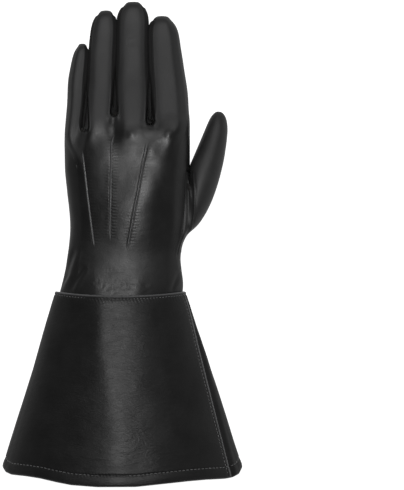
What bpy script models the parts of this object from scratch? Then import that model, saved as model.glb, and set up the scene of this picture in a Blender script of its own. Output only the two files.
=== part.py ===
# Left-hand gauntlet glove in plain leather, lying palm down with its fingers towards +Y and its thumb at +X.
# The tables are in millimetres, measured from the middle of the cuff's top seam and from the floor.
# At the end the whole glove is moved so that the middle of its footprint is the origin, in metres.

import math

import bpy
import bmesh
from mathutils import Vector

MM = 0.001

# Leather
HAND_WALL = 1.3
CUFF_WALL = 1.8
SEAM_GAP = 0.5
HEM_FOLD = 9.0
MOST_MITRE = 4.5

# Mesh density: quads across each finger's back, down each finger's side, and along each finger
ACROSS = 6
DEEP = 4
BANDS = (0.0, 0.1, 0.3, 0.5, 0.7, 0.9, 1.0)
FINGER_RINGS = (0.1, 0.24, 0.4, 0.56, 0.71, 0.84, 0.92, 0.968)
ROOT_POWER = 3
SIDE_ANGLE = math.radians(40)
BACK_POWERS = (2.3, 2.1)
PALM_POWERS = (2.8, 2.4)
# How rounded the hand's section is, from the cuff's own shape at the wrist: y, back powers, palm powers
HAND_POWERS = (
    (-9, 2.0, 1.6, 4.0, 2.2),
    (-2, 2.0, 1.6, 4.0, 2.2),
    (16, 2.3, 2.1, 2.8, 2.4),
    (131, 2.3, 2.1, 2.8, 2.4),
)

# The hand below the fingers: y, left, right, edge height, low, high
HAND_SECTIONS = (
    (-9, -48.6, 49.8, 15, 2.6, 37.0),
    (-4, -47.6, 49.0, 15, 2.6, 37.1),
    (2, -46.0, 49.0, 15, 2.6, 36.3),
    (8, -44.0, 49.0, 16, 2.2, 35.0),
    (18, -41.7, 48.4, 16, 1.4, 33.6),
    (30, -40.0, 48.4, 16, 0.4, 33.4),
    (42, -38.6, 51.6, 16, -0.6, 34.0),
    (56, -38.3, 53.8, 16, -1.0, 35.0),
    (70, -39.8, 54.8, 16, -1.0, 35.6),
    (84, -41.5, 55.2, 16, -0.8, 35.8),
    (98, -42.9, 55.6, 16, 0.0, 35.6),
    (109, -43.3, 55.9, 16, 1.4, 35.6),
    (120, -43.0, 55.7, 15.5, 2.8, 34.8),
    (131, -42.2, 55.3, 15, 4.0, 32.4),
)
PALM_ROWS = (-9, -4, 6, 18, 30, 42, 56, 70, 84, 98, 109, 120, 131)
# Where the fingers part, from the little finger's outer side to the index finger's: y of each crotch
CROTCH_Y = (121.0, 124.0, 135.7, 131.0, 129.0)
WEB_SAG = 1.2
FINGERS_FROM = 0.62
# The three pointed lines on the back, which run down from the crotches: y, x of each
POINT_LINES = (
    (-9, -17.5, -5.0, 9.0),
    (35, -19.1, -7.0, 7.0),
    (75, -24.3, -6.3, 14.3),
    (114, -28.9, -5.6, 21.4),
    (131, -28.9, -2.4, 24.3),
)
# Lines on the palm side: y, x under the first two crotches, the thumb seam's arc, x under the third crotch
PALM_LINES = (
    (-9, -24.0, -6.0, 18.0, 27.0),
    (18.6, -23.0, -7.0, 15.5, 24.0),
    (28.3, -23.0, -8.0, 11.5, 20.5),
    (39.4, -23.5, -9.0, 8.2, 17.5),
    (54.3, -24.0, -9.5, 7.4, 17.0),
    (70, -24.5, -9.0, 8.9, 18.5),
    (87, -25.5, -6.5, 15.3, 24.0),
    (102, -27.0, -3.0, 26.5, 31.5),
    (116, -28.5, -2.0, 20.0, 28.5),
    (131, -28.9, -2.4, 15.5, 24.3),
)

# Knuckles on the back, then the hollow of the palm and the gather over the cuff's rim:
# x and y of the middle, reach along x, reach along y, height
BACK_SWELLS = (
    (-36.0, 113.0, 8.0, 11.0, 1.2),
    (-15.0, 119.0, 9.0, 12.0, 1.5),
    (10.5, 121.0, 9.0, 12.0, 1.7),
    (38.5, 120.0, 10.0, 12.0, 1.7),
)
PALM_SWELLS = (
    (-6.0, 76.0, 20.0, 30.0, 4.0),
    (2.0, 13.0, 24.0, 8.0, -1.6),
)

# Each finger: name, tip x, y and height, length and height of its rounded end, turn in degrees, then
# its sections: y, left, right, low, high
FINGERS = (
    ("little", (-28.2, 193.8, 6.4), (15, 8), 16, (
        (121, -42.6, -29.2, 4.0, 27.0),
        (135, -41.6, -27.5, 2.0, 24.2),
        (150, -40.4, -26.0, 0.2, 21.0),
        (165, -39.8, -25.1, -0.7, 18.6),
        (176, -37.8, -24.5, -0.9, 17.0),
        (184, -36.4, -24.0, -0.9, 15.8),
        (194, -35.4, -23.4, -0.9, 15.0),
    )),
    ("ring", (-10.2, 219.7, 6.8), (16, 9), 5, (
        (130, -28.0, -3.0, 4.2, 30.8),
        (142, -26.4, -3.2, 2.4, 28.4),
        (155, -25.0, -3.2, 0.4, 25.2),
        (170, -24.0, -2.9, -0.7, 22.0),
        (185, -23.3, -2.4, -0.9, 19.4),
        (198, -22.2, -2.0, -0.9, 17.6),
        (208, -21.0, -1.7, -0.9, 16.5),
        (219, -20.0, -1.4, -0.9, 15.6),
    )),
    ("middle", (11.4, 226.3, 7.0), (17, 9), 0, (
        (134, -2.0, 23.6, 4.5, 32.2),
        (145, -2.6, 24.0, 2.8, 29.8),
        (157, -2.7, 23.8, 0.6, 26.8),
        (172, -2.4, 23.0, -0.7, 23.2),
        (187, -2.0, 22.5, -0.9, 20.6),
        (202, -1.6, 22.4, -0.9, 18.6),
        (214, -1.2, 22.4, -0.9, 17.2),
        (226, -0.8, 22.4, -0.9, 16.2),
    )),
    ("index", (32.9, 215.2, 7.0), (16, 9), -8, (
        (130, 24.8, 55.5, 4.2, 31.6),
        (142, 24.4, 54.6, 2.6, 29.2),
        (157, 24.2, 53.2, 0.4, 26.2),
        (170, 23.4, 51.5, -0.7, 23.4),
        (183, 22.9, 49.5, -0.9, 20.8),
        (195, 22.8, 47.8, -0.9, 18.8),
        (204, 22.8, 46.4, -0.9, 17.5),
        (215, 22.8, 45.2, -0.9, 16.4),
    )),
)
FINGER_BACK_POWERS = (2.7, 4.2)
# The hand's own outer sides, where a finger is as round as the hand: -1 on its left, 1 on its right
OUTER_SIDES = {"little": -1, "index": 1}
END_POWER = 2.1

# The thumb: inner edge x and y, outer edge x and y, low, high
THUMB_SECTIONS = (
    (56.2, 84.0, 62.5, 53.0, 0.0, 26.0),
    (57.0, 93.5, 71.2, 68.0, -0.6, 26.0),
    (57.9, 101.5, 77.2, 84.5, -0.9, 25.0),
    (60.4, 111.0, 81.2, 100.5, -0.9, 23.0),
    (64.3, 121.0, 83.7, 115.5, -0.9, 20.0),
    (68.2, 130.0, 84.6, 126.5, -0.9, 17.5),
    (71.6, 136.6, 83.6, 135.2, 0.2, 14.8),
)
THUMB_SIDE_ANGLE = math.radians(45)
THUMB_POWERS = (2.2, 2.1)
THUMB_TIP_REACH = 5.0
THUMB_JOIN_RINGS = 2
# The thumb piece's part of the hand mesh: its first and last rows and its palm-side line, the seam's arc
BALL_ROWS = (3, 9)
TUBE_ROW = 5
TUBE_LINES = 2
ARC_LINE = 16
QUIRK_DIP = 17.0
QUIRK_POWER = 1.3
QUIRK_SHARE = {5: 0.06, 6: 0.25, 7: 0.5, 8: 0.76, 9: 1.0, 10: 0.5, 11: 0.15}

# The cuff: share of the way from rim to hem, left, right, edge height, low, high
CUFF_SECTIONS = (
    (0.0, -49.4, 51.4, 15.0, -2.0, 40.0),
    (0.25, -59.7, 63.0, 13.5, -2.0, 43.5),
    (0.5, -70.0, 74.5, 12.0, -2.0, 46.5),
    (0.75, -80.9, 85.8, 10.5, -1.8, 49.5),
    (1.0, -91.3, 96.6, 9.0, -1.6, 52.0),
)
CUFF_BACK_POWERS = (2.0, 1.6)
CUFF_PALM_POWERS = (4.0, 2.2)
CUFF_ROWS = (0.0, 0.03, 0.1, 0.22, 0.36, 0.5, 0.64, 0.78, 0.88)
# The rim: y in the middle of the back, rise at the edges, power of the curve, y on the palm side.
# The hem: its lowest y, then place across from -1 at the little-finger edge to 1 at the thumb edge with y,
# and how much higher it runs on the palm side
RIM_Y = (-4.7, 5.8, 2.2, 0.3)
HEM_Y = -150.4
HEM_LINE = (
    (-1.0, -137.0),
    (-0.975, -140.2),
    (-0.93, -141.8),
    (-0.80, -142.7),
    (-0.68, -144.2),
    (-0.54, -147.0),
    (-0.42, -149.0),
    (-0.2, -150.4),
    (0.12, -150.2),
    (0.33, -148.2),
    (0.55, -146.2),
    (0.70, -145.2),
    (0.86, -144.8),
    (0.93, -143.8),
    (0.975, -141.6),
    (1.0, -137.2),
)
PALM_HEM_UP = 1.2
PALM_EASE = 2.5
# How far from each outer edge the back panel's seams run: share of the way from rim to hem, distance
LAP_EDGE = ((0.0, 0.9), (0.2, 4.6), (0.4, 6.8), (0.7, 7.2), (1.0, 7.4))
LAP = 5.0
LAP_SINK = (0.03, 0.1)
LAP_FROM = (0.1, 0.25)
LAP_CLEAR = 0.6
LAP_RISE = 0.3
HEM_CLEAR = 0.01
HEM_STEP = 0.004
HEM_EDGE = 0.012
FINE_STEPS = 300
FINE_TURN = math.radians(0.5)
# The back panel's columns before and past the little-finger edge.
# The palm panel's before and past the thumb edge
BACK_COLUMNS = (24, 5)
PALM_COLUMNS = (18, 5)

BLACK_LEATHER = (0.012, 0.012, 0.013, 1)


def smooth(share):
    """Eases a share from 0 to 1."""
    share = min(max(share, 0.0), 1.0)
    return share * share * (3 - 2 * share)


def mix(a, b, share):
    return a + (b - a) * share


def read(table, where):
    """The table's values at this place, on a smooth curve through its rows."""
    last = len(table) - 1
    k = 0
    while k < last - 1 and where > table[k + 1][0]:
        k += 1
    row, after = table[k], table[k + 1]
    before, beyond = table[max(k - 1, 0)], table[min(k + 2, last)]
    span = after[0] - row[0]
    u = min(max((where - row[0]) / span, 0.0), 1.0)
    values = []
    for c in range(1, len(row)):
        start = (after[c] - before[c]) / (after[0] - before[0])
        end = (beyond[c] - row[c]) / (beyond[0] - row[0])
        values.append(
            (1 + 2 * u) * (1 - u) ** 2 * row[c]
            + u * (1 - u) ** 2 * span * start
            + u * u * (3 - 2 * u) * after[c]
            + u * u * (u - 1) * span * end
        )
    return values


def rounded(angle, powers):
    """Point of a rounded outline with half sizes of one, at this angle from +X."""
    across, up = math.cos(angle), math.sin(angle)
    return (
        math.copysign(abs(across) ** (2 / powers[0]), across),
        math.copysign(abs(up) ** (2 / powers[1]), up),
    )


def section_point(left, right, edge, low, high, angle, powers_up, powers_down):
    """x and height on a section: back above the edge height, palm side below, flat on the floor."""
    f, g = rounded(angle, powers_up if math.sin(angle) >= 0 else powers_down)
    x = (left + right) / 2 + (right - left) / 2 * f
    z = edge + ((high - edge) if g >= 0 else (edge - low)) * g
    return x, max(z, 0.0)


def angle_across(x, left, right, power):
    """Angle on the section's upper half at which it has this x."""
    f = (x - (left + right) / 2) / ((right - left) / 2)
    f = min(max(f, -0.999), 0.999)
    return math.acos(math.copysign(abs(f) ** (power / 2), f))


# Hand

LINES = 4 * ACROSS


def swell(table, x, y):
    """Height that the swells of a table add here."""
    return sum(
        height * math.exp(-(((x - at_x) / reach_x) ** 2) - ((y - at_y) / reach_y) ** 2)
        for at_x, at_y, reach_x, reach_y, height in table
    )


def band_x(line, stops):
    """x of a lengthwise line, between the stops at every finger's edge."""
    finger = min(line // ACROSS, 3)
    return mix(stops[finger], stops[finger + 1], BANDS[line - finger * ACROSS])


def crotch_y(line):
    finger = min(line // ACROSS, 3)
    return mix(CROTCH_Y[finger], CROTCH_Y[finger + 1], BANDS[line - finger * ACROSS])


def row_y(row, line):
    """y of a row of the hand at a line: straight at the wrist, bent through the crotches at the top."""
    share = (PALM_ROWS[row] - PALM_ROWS[0]) / (PALM_ROWS[-1] - PALM_ROWS[0])
    return PALM_ROWS[row] + (crotch_y(line) - PALM_ROWS[-1]) * share * share


def palm_x(line, y, edges):
    """x of a palm-side line, where the thumb seam's arc is one of the lines."""
    first, second, arc, third = read(PALM_LINES, y)
    stops = ((0, edges[0]), (6, first), (12, second), (ARC_LINE, arc), (18, third), (LINES, edges[1]))
    for (a, xa), (b, xb) in zip(stops, stops[1:]):
        if line <= b:
            whole = BANDS[b % ACROSS] if b % ACROSS else 1.0
            start = BANDS[a % ACROSS] if a % ACROSS else 0.0
            here = BANDS[line % ACROSS] if line % ACROSS else (0.0 if line == a else 1.0)
            return mix(xa, xb, (here - start) / (whole - start))
    return edges[1]


def quirk(row, line):
    """How far the thumb seam's upper edge dips between its apex and the hand's edge.

    The line counts on past the palm.
    """
    share = QUIRK_SHARE.get(row, 0.0)
    along = (line - ARC_LINE) / (LINES + DEEP - ARC_LINE)
    if share == 0.0 or along <= 0 or along >= 1:
        return 0.0
    return -QUIRK_DIP * share * math.sin(math.pi * along) ** QUIRK_POWER


def hand_powers(y):
    powers = read(HAND_POWERS, y)
    return powers[:2], powers[2:]


def hand_back(row, line):
    y = row_y(row, line)
    left, right, edge, low, high = read(HAND_SECTIONS, y)
    back, palm = hand_powers(y)
    f = rounded(SIDE_ANGLE, back)[0]
    middle, half = (left + right) / 2, (right - left) / 2
    x = band_x(line, (middle - f * half, *read(POINT_LINES, y), middle + f * half))
    angle = angle_across(x, left, right, back[0])
    x, z = section_point(left, right, edge, low, high, angle, back, palm)
    return Vector((x, y, z + swell(BACK_SWELLS, x, y)))


def hand_palm(row, line):
    y = row_y(row, line) + quirk(row, line)
    left, right, edge, low, high = read(HAND_SECTIONS, y)
    back, palm = hand_powers(y)
    f = rounded(SIDE_ANGLE, palm)[0]
    middle, half = (left + right) / 2, (right - left) / 2
    x = palm_x(line, y, (middle - f * half, middle + f * half))
    angle = -angle_across(x, left, right, palm[0])
    x, z = section_point(left, right, edge, low, high, angle, back, palm)
    return Vector((x, y, max(z + swell(PALM_SWELLS, x, y), 0.0)))


def hand_side(row, step, index_side):
    """A point on the hand's outer side, a step down from its back."""
    line = LINES if index_side else 0
    y = row_y(row, line) + (quirk(row, LINES + DEEP - step) if index_side else 0.0)
    left, right, edge, low, high = read(HAND_SECTIONS, y)
    angle = mix(SIDE_ANGLE, -SIDE_ANGLE, step / DEEP)
    if not index_side:
        angle = math.pi - angle
    x, z = section_point(left, right, edge, low, high, angle, *hand_powers(y))
    return Vector((x, y, z))


def end_scale(y, tip, reach):
    """How far a finger's section has shrunk at this place of its rounded end."""
    past = min(max((y - tip + reach) / reach, 0.0), 1.0)
    return (1 - past**END_POWER) ** (1 / END_POWER)


def finger_point(finger, angle, y):
    """A point round a finger, whose end is rounded off about its tip."""
    name, tip, (long, tall), turn, sections = finger
    left, right, low, high = read(sections, y)
    angle += math.radians(turn)
    outer = smooth(math.cos(angle) * OUTER_SIDES.get(name, 0) * 1.5)
    powers = [mix(square, full, outer) for square, full in zip(FINGER_BACK_POWERS, BACK_POWERS)]
    x, z = section_point(left, right, (low + high) / 2, low, high, angle, powers, PALM_POWERS)
    x = tip[0] + (x - tip[0]) * end_scale(y, tip[1], long)
    z = tip[2] + (z - tip[2]) * end_scale(y, tip[1], tall)
    return Vector((x, y, z))


def finger_angles(part, step):
    """Angle of a point round a finger.

    Back and palm run left to right, the right side down and the left side up.
    """
    across = math.pi - 2 * SIDE_ANGLE
    if part == "back":
        return math.pi - SIDE_ANGLE - across * BANDS[step]
    if part == "right":
        return SIDE_ANGLE - 2 * SIDE_ANGLE * step / DEEP
    if part == "palm":
        return -math.pi + SIDE_ANGLE + across * BANDS[step]
    return -math.pi + SIDE_ANGLE - 2 * SIDE_ANGLE * step / DEEP


class Surface:
    """The outer faces of the glove, each marked with the piece that it belongs to."""

    def __init__(self):
        self.points = []
        self.faces = []

    def add(self, point):
        self.points.append(point)
        return len(self.points) - 1

    def face(self, piece, *corners):
        self.faces.append((piece, corners))

    def band(self, first, second, piece_of):
        """Quads between two closed loops."""
        count = len(first)
        for n in range(count):
            m = (n + 1) % count
            self.face(piece_of(n), first[n], first[m], second[m], second[n])

    def cap(self, loop, wide, deep, reach, piece):
        """Closes a loop of 2 x (wide + deep) points with a grid that bulges along reach."""
        grid = [[None] * (deep + 1) for _ in range(wide + 1)]
        for a in range(wide + 1):
            grid[a][0] = loop[a]
            grid[a][deep] = loop[2 * wide + deep - a]
        for d in range(deep + 1):
            grid[wide][d] = loop[wide + d]
            grid[0][d] = loop[(-d) % len(loop)]
        for a in range(1, wide):
            for d in range(1, deep):
                u, v = a / wide, d / deep
                flat = (
                    mix(self.points[grid[0][d]], self.points[grid[wide][d]], u)
                    + mix(self.points[grid[a][0]], self.points[grid[a][deep]], v)
                ) / 2
                bulge = math.sqrt(16 * u * (1 - u) * v * (1 - v))
                grid[a][d] = self.add(flat + reach * bulge)
        for a in range(wide):
            for d in range(deep):
                self.face(piece, grid[a][d], grid[a + 1][d], grid[a + 1][d + 1], grid[a][d + 1])


def hand_rows(surface):
    """The hand from the wrist to the crotches: each row as its back, index side, palm and little side."""
    last = len(PALM_ROWS) - 1
    rows = []
    for row in range(last + 1):
        blend = smooth((row / last - FINGERS_FROM) / (1 - FINGERS_FROM))
        parts = {
            "back": [hand_back(row, line) for line in range(LINES + 1)],
            "palm": [hand_palm(row, line) for line in range(LINES + 1)],
            "right": [hand_side(row, step, True) for step in range(1, DEEP)],
            "left": [hand_side(row, DEEP - step, False) for step in range(1, DEEP)],
        }
        if blend > 0:
            towards_fingers(parts, blend)
        rows.append({part: [surface.add(p) for p in points] for part, points in parts.items()})
    return rows


def towards_fingers(parts, blend):
    """Draws a row towards the fingers' own sections, so that knuckles and valleys form below the crotches."""
    for part in ("back", "palm"):
        sums = [[Vector(), 0] for _ in range(LINES + 1)]
        for k, finger in enumerate(FINGERS):
            for step in range(ACROSS + 1):
                line = k * ACROSS + step
                base = max(parts[part][line].y, finger[4][0][0])
                aim = finger_point(finger, finger_angles(part, step), base)
                sums[line][0] += Vector((aim.x, parts[part][line].y, aim.z))
                sums[line][1] += 1
        for line, (total, count) in enumerate(sums):
            parts[part][line] = mix(parts[part][line], total / count, blend)
    for part, finger in (("right", FINGERS[3]), ("left", FINGERS[0])):
        for n, point in enumerate(parts[part]):
            aim = finger_point(finger, finger_angles(part, n + 1), max(point.y, finger[4][0][0]))
            parts[part][n] = mix(point, Vector((aim.x, point.y, aim.z)), blend)


def loop_of(row):
    return row["back"] + row["right"] + row["palm"][::-1] + row["left"]


def weave_hand(surface):
    rows = hand_rows(surface)
    loops = [loop_of(row) for row in rows]
    ball = range(LINES + 1, 2 * LINES + DEEP - ARC_LINE)
    tube = range(LINES + 1, LINES + DEEP + TUBE_LINES)
    for j in range(len(loops) - 1):
        in_ball_rows = BALL_ROWS[0] <= j < BALL_ROWS[1]
        for n in range(len(loops[j])):
            m = (n + 1) % len(loops[j])
            if in_ball_rows and j >= TUBE_ROW and n in tube:
                continue
            piece = "thumb" if in_ball_rows and n in ball else "trank"
            surface.face(piece, loops[j][n], loops[j][m], loops[j + 1][m], loops[j + 1][n])
    weave_fingers(surface, rows[-1])
    weave_thumb(surface, loops, tube)


def weave_fingers(surface, top):
    webs = []
    for k in (1, 2, 3):
        upper, lower = (surface.points[top[part][k * ACROSS]] for part in ("back", "palm"))
        web = []
        for step in range(1, DEEP):
            share = step / DEEP
            point = mix(upper, lower, share)
            point.y -= WEB_SAG * math.sin(math.pi * share)
            web.append(surface.add(point))
        webs.append(web)
    webs = [top["left"][::-1], *webs, top["right"]]
    for k, finger in enumerate(FINGERS):
        start = k * ACROSS
        loop = (
            top["back"][start : start + ACROSS + 1]
            + webs[k + 1]
            + top["palm"][start : start + ACROSS + 1][::-1]
            + webs[k][::-1]
        )
        weave_finger(surface, k, finger, loop)


def fourchette_names(k):
    """The pieces on a finger's left and right sides."""
    forks = ["trank"] + [f"fourchette_{a[0]}_{b[0]}" for a, b in zip(FINGERS, FINGERS[1:])] + ["trank"]
    return forks[k], forks[k + 1]


def weave_finger(surface, k, finger, loop):
    left_piece, right_piece = fourchette_names(k)
    angles = (
        [finger_angles("back", n) for n in range(ACROSS + 1)]
        + [finger_angles("right", n) for n in range(1, DEEP)]
        + [finger_angles("palm", n) for n in range(ACROSS, -1, -1)]
        + [finger_angles("left", n) for n in range(1, DEEP)]
    )
    base = [surface.points[n].y for n in loop]
    root = sum(base) / len(base)

    def piece_of(n):
        if ACROSS <= n < ACROSS + DEEP:
            return right_piece
        return left_piece if n >= 2 * ACROSS + DEEP else "trank"

    for share in FINGER_RINGS:
        ring = []
        for n, angle in enumerate(angles):
            y = mix(root, finger[1][1], share) + (base[n] - root) * (1 - share) ** ROOT_POWER
            ring.append(surface.add(finger_point(finger, angle, y)))
        surface.band(loop, ring, piece_of)
        loop = ring
    reach = Vector((0, finger[1][1] - surface.points[loop[0]].y, 0))
    surface.cap(loop, ACROSS, DEEP, reach, "trank")


def thumb_ring(section, wide, deep):
    """Points round the thumb from its outer side's top, down and round under to its back."""
    inner, outer = Vector((section[0], section[1], 0)), Vector((section[2], section[3], 0))
    low, high = section[4:]
    turns = (
        (THUMB_SIDE_ANGLE, -THUMB_SIDE_ANGLE, wide),
        (-THUMB_SIDE_ANGLE, THUMB_SIDE_ANGLE - math.pi, deep),
        (THUMB_SIDE_ANGLE - math.pi, -THUMB_SIDE_ANGLE - math.pi, wide),
        (-THUMB_SIDE_ANGLE - math.pi, THUMB_SIDE_ANGLE - 2 * math.pi, deep),
    )
    ring = []
    for start, end, count in turns:
        for n in range(count):
            f, g = rounded(mix(start, end, n / count), THUMB_POWERS)
            point = mix(inner, outer, (1 + f) / 2)
            point.z = max((low + high) / 2 + (high - low) / 2 * g, 0.0)
            ring.append(point)
    return ring


def weave_thumb(surface, loops, tube):
    """The thumb grows from the hole in the hand mesh that its faces left."""
    wide, deep = len(tube), BALL_ROWS[1] - TUBE_ROW
    first, last = tube[0], tube[-1] + 1
    loop = [loops[TUBE_ROW][n] for n in range(first, last)]
    loop += [loops[j][last] for j in range(TUBE_ROW, BALL_ROWS[1])]
    loop += [loops[BALL_ROWS[1]][n] for n in range(last, first, -1)]
    loop += [loops[j][first] for j in range(BALL_ROWS[1], TUBE_ROW, -1)]
    rings = [thumb_ring(section, wide, deep) for section in THUMB_SECTIONS]
    hole = [surface.points[n] for n in loop]
    for step in range(1, THUMB_JOIN_RINGS):
        share = step / THUMB_JOIN_RINGS
        joining = [mix(a, b, share) for a, b in zip(hole, rings[0])]
        rings.insert(step - 1, joining)
    for points in rings:
        ring = [surface.add(point) for point in points]
        surface.band(loop, ring, lambda n: "thumb")
        loop = ring
    end = THUMB_SECTIONS[-1]
    along = Vector((end[1] - end[3], end[2] - end[0], 0)).normalized()
    surface.cap(loop, wide, deep, along * THUMB_TIP_REACH, "thumb")


# Cuff

def cuff_point(share, angle):
    """A point of the cuff's outside: its share of the way from rim to hem, its angle from the thumb side."""
    left, right, edge, low, high = read(CUFF_SECTIONS, share)
    x, z = section_point(left, right, edge, low, high, angle, CUFF_BACK_POWERS, CUFF_PALM_POWERS)
    f = (x - (left + right) / 2) / ((right - left) / 2)
    rim = RIM_Y[0] + RIM_Y[1] * abs(f) ** RIM_Y[2]
    below = smooth(max(-math.sin(angle), 0.0) * PALM_EASE)
    rim = mix(rim, RIM_Y[3], below)
    hem = read(HEM_LINE, f)[0] + PALM_HEM_UP * below
    return Vector((x, mix(rim, hem, share), z))


def lap_angle(share):
    """Angle above the thumb-side edge at which the back panel's seam runs."""
    left, right = read(CUFF_SECTIONS, share)[:2]
    away = read(LAP_EDGE, share)[0]
    return angle_across(right - away, left, right, CUFF_BACK_POWERS[0])


def seam_angle_below(share):
    """The same seam under the little-finger edge, as an angle past it."""
    left, right = read(CUFF_SECTIONS, share)[:2]
    away = read(LAP_EDGE, share)[0]
    return math.pi + angle_across(right - away, left, right, CUFF_PALM_POWERS[0])


def lap_width(share):
    return LAP * smooth((share - LAP_FROM[0]) / (LAP_FROM[1] - LAP_FROM[0]))


def inward(share, angle, depth):
    """The cuff's outside moved in by this depth, square to it."""
    step = 0.01
    a, b = cuff_point(share, angle - step), cuff_point(share, angle + step)
    up, down = cuff_point(max(share - step, 0), angle), cuff_point(min(share + step, 1), angle)
    normal = (b - a).cross(down - up)
    if normal.length < 1e-9:
        return cuff_point(share, angle)
    return cuff_point(share, angle) - normal.normalized() * depth


def angle_further(share, angle, distance):
    """The angle at this distance along the section from another one."""
    sign = 1 if distance >= 0 else -1
    step, gone = FINE_TURN, 0.0
    here = cuff_point(share, angle)
    while gone < abs(distance):
        there = cuff_point(share, angle + sign * step)
        gone += (there - here).length
        angle, here = angle + sign * step, there
    return angle


def spaced_angles(share, start, end, count):
    """Angles from start to end that part the section's length evenly."""
    fine = [mix(start, end, n / FINE_STEPS) for n in range(FINE_STEPS + 1)]
    points = [cuff_point(share, angle) for angle in fine]
    lengths = [0.0]
    for a, b in zip(points, points[1:]):
        lengths.append(lengths[-1] + (b - a).length)
    angles, k = [], 0
    for n in range(count + 1):
        aim = lengths[-1] * n / count
        while k < FINE_STEPS - 1 and lengths[k + 1] < aim:
            k += 1
        angles.append(mix(fine[k], fine[k + 1], (aim - lengths[k]) / (lengths[k + 1] - lengths[k])))
    return angles


def cuff_shares():
    """The rows from rim to hem: the hem's fold has a row at either side of its edge."""
    fold = 1 - HEM_FOLD / (RIM_Y[0] - HEM_Y)
    return [*CUFF_ROWS, fold - HEM_CLEAR, fold - HEM_STEP, fold, 1 - HEM_EDGE, 1.0], fold


def cuff_wall(share, fold):
    """The leather is double where the hem is folded in."""
    return CUFF_WALL * (2 if share >= fold else 1)


def cuff_panel(name, angles_at, is_hidden, across):
    """A panel as a closed solid. Its hidden columns lie under the other panel."""
    shares, fold = cuff_shares()
    outer, inner = [], []
    for share in shares:
        sheets = ([], [])
        for n, angle in enumerate(angles_at(share)):
            depth, wall = 0.0, cuff_wall(share, fold)
            if is_hidden(n):
                under = cuff_wall(share + HEM_CLEAR, fold) + LAP_CLEAR
                sink = smooth((share - LAP_SINK[0]) / (LAP_SINK[1] - LAP_SINK[0]))
                depth, wall = under * sink, CUFF_WALL
            sheets[0].append(inward(share, angle, depth))
            sheets[1].append(inward(share, angle, depth + wall))
        outer.append(sheets[0])
        inner.append(sheets[1])
    points = [p for sheet in (outer, inner) for row in sheet for p in row]
    wide, rows = across + 1, len(shares)
    faces = []

    def at(sheet, row, column):
        return (sheet * rows + row) * wide + column

    for a in range(rows - 1):
        b = a + 1
        for c in range(across):
            d = c + 1
            faces.append([at(0, a, c), at(0, a, d), at(0, b, d), at(0, b, c)])
            faces.append([at(1, a, c), at(1, b, c), at(1, b, d), at(1, a, d)])
        for c, turn in ((0, 1), (across, -1)):
            faces.append([at(0, a, c), at(0, b, c), at(1, b, c), at(1, a, c)][::turn])
    for c in range(across):
        d = c + 1
        for a, turn in ((0, 1), (rows - 1, -1)):
            faces.append([at(0, a, c), at(1, a, c), at(1, a, d), at(0, a, d)][::turn])
    return name, points, faces


def cuff_back():
    across = sum(BACK_COLUMNS)

    def angles_at(share):
        gap = SEAM_GAP / 2
        start = angle_further(share, lap_angle(share), gap)
        end = angle_further(share, seam_angle_below(share), -gap)
        over = spaced_angles(share, start, math.pi, BACK_COLUMNS[0])
        return over[:-1] + spaced_angles(share, math.pi, end, BACK_COLUMNS[1])

    return cuff_panel("cuff_back_panel", angles_at, lambda n: False, across)


def cuff_palm():
    joggle = 2
    across = sum(PALM_COLUMNS) + 2 * joggle

    def angles_at(share):
        gap = SEAM_GAP / 2
        start = angle_further(share, seam_angle_below(share), gap)
        end = angle_further(share, lap_angle(share) + 2 * math.pi, -gap)
        under = lap_width(share)
        first = angle_further(share, start, 2 * LAP_RISE)
        last = angle_further(share, end, -2 * LAP_RISE)
        middle = spaced_angles(share, first, 2 * math.pi, PALM_COLUMNS[0])[:-1]
        middle += spaced_angles(share, 2 * math.pi, last, PALM_COLUMNS[1])
        before = [angle_further(share, start, -under), angle_further(share, start, LAP_RISE)]
        after = [angle_further(share, end, -LAP_RISE), angle_further(share, end, under)]
        return [*before, *middle, *after]

    return cuff_panel("cuff_palm_panel", angles_at, lambda n: n < joggle or n > across - joggle, across)


# Solids


def smooth_normals(surface):
    """The outward normal at each point of the whole glove's surface."""
    normals = [Vector() for _ in surface.points]
    for _, corners in surface.faces:
        a, b, c, d = (surface.points[n] for n in corners)
        normal = (c - a).cross(d - b)
        for n in corners:
            normals[n] += normal
    return [normal.normalized() for normal in normals]


def piece_solid(surface, normals, piece):
    """One piece of the surface as a wall of leather, drawn back from its seams by half the gap."""
    faces = [corners for name, corners in surface.faces if name == piece]
    open_edges = {}
    for corners in faces:
        for a, b in zip(corners, corners[1:] + corners[:1]):
            if (b, a) in open_edges:
                del open_edges[b, a]
            else:
                open_edges[a, b] = corners
    rim = {n for edge in open_edges for n in edge}
    order = sorted({n for corners in faces for n in corners})
    where = {n: k for k, n in enumerate(order)}
    outer, inner = [], []
    for n in order:
        point, normal = surface.points[n], normals[n]
        if n in rim:
            point = drawn_back(surface, open_edges, n, normal)
        outer.append(point)
        inner.append(point - normal * HAND_WALL)
    count = len(order)
    solid = [[where[n] for n in corners] for corners in faces]
    solid += [[where[n] + count for n in corners[::-1]] for corners in faces]
    for a, b in open_edges:
        # Both pieces at a seam split its wall along the same diagonal, so that their gap stays even.
        if a < b:
            solid.append([where[b], where[a], where[b] + count])
            solid.append([where[a], where[a] + count, where[b] + count])
        else:
            solid.append([where[b], where[a], where[a] + count])
            solid.append([where[b], where[a] + count, where[b] + count])
    return piece, outer + inner, solid


def drawn_back(surface, edges, n, normal):
    """A seam's point moved into its own piece by half the gap, further where the seam turns a corner."""
    point = surface.points[n]
    squares = []
    for (a, b), corners in edges.items():
        if n not in (a, b):
            continue
        start, end = surface.points[a], surface.points[b]
        centre = sum((surface.points[m] for m in corners), Vector()) / len(corners)
        along = (end - start).normalized()
        into = centre - (start + end) / 2
        into -= along * into.dot(along)
        into -= normal * into.dot(normal)
        squares.append(into.normalized())
    between = sum(squares, Vector()).normalized()
    mitre = max(min(between.dot(square) for square in squares), 1 / MOST_MITRE)
    return point + between * (SEAM_GAP / 2) / mitre


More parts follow.
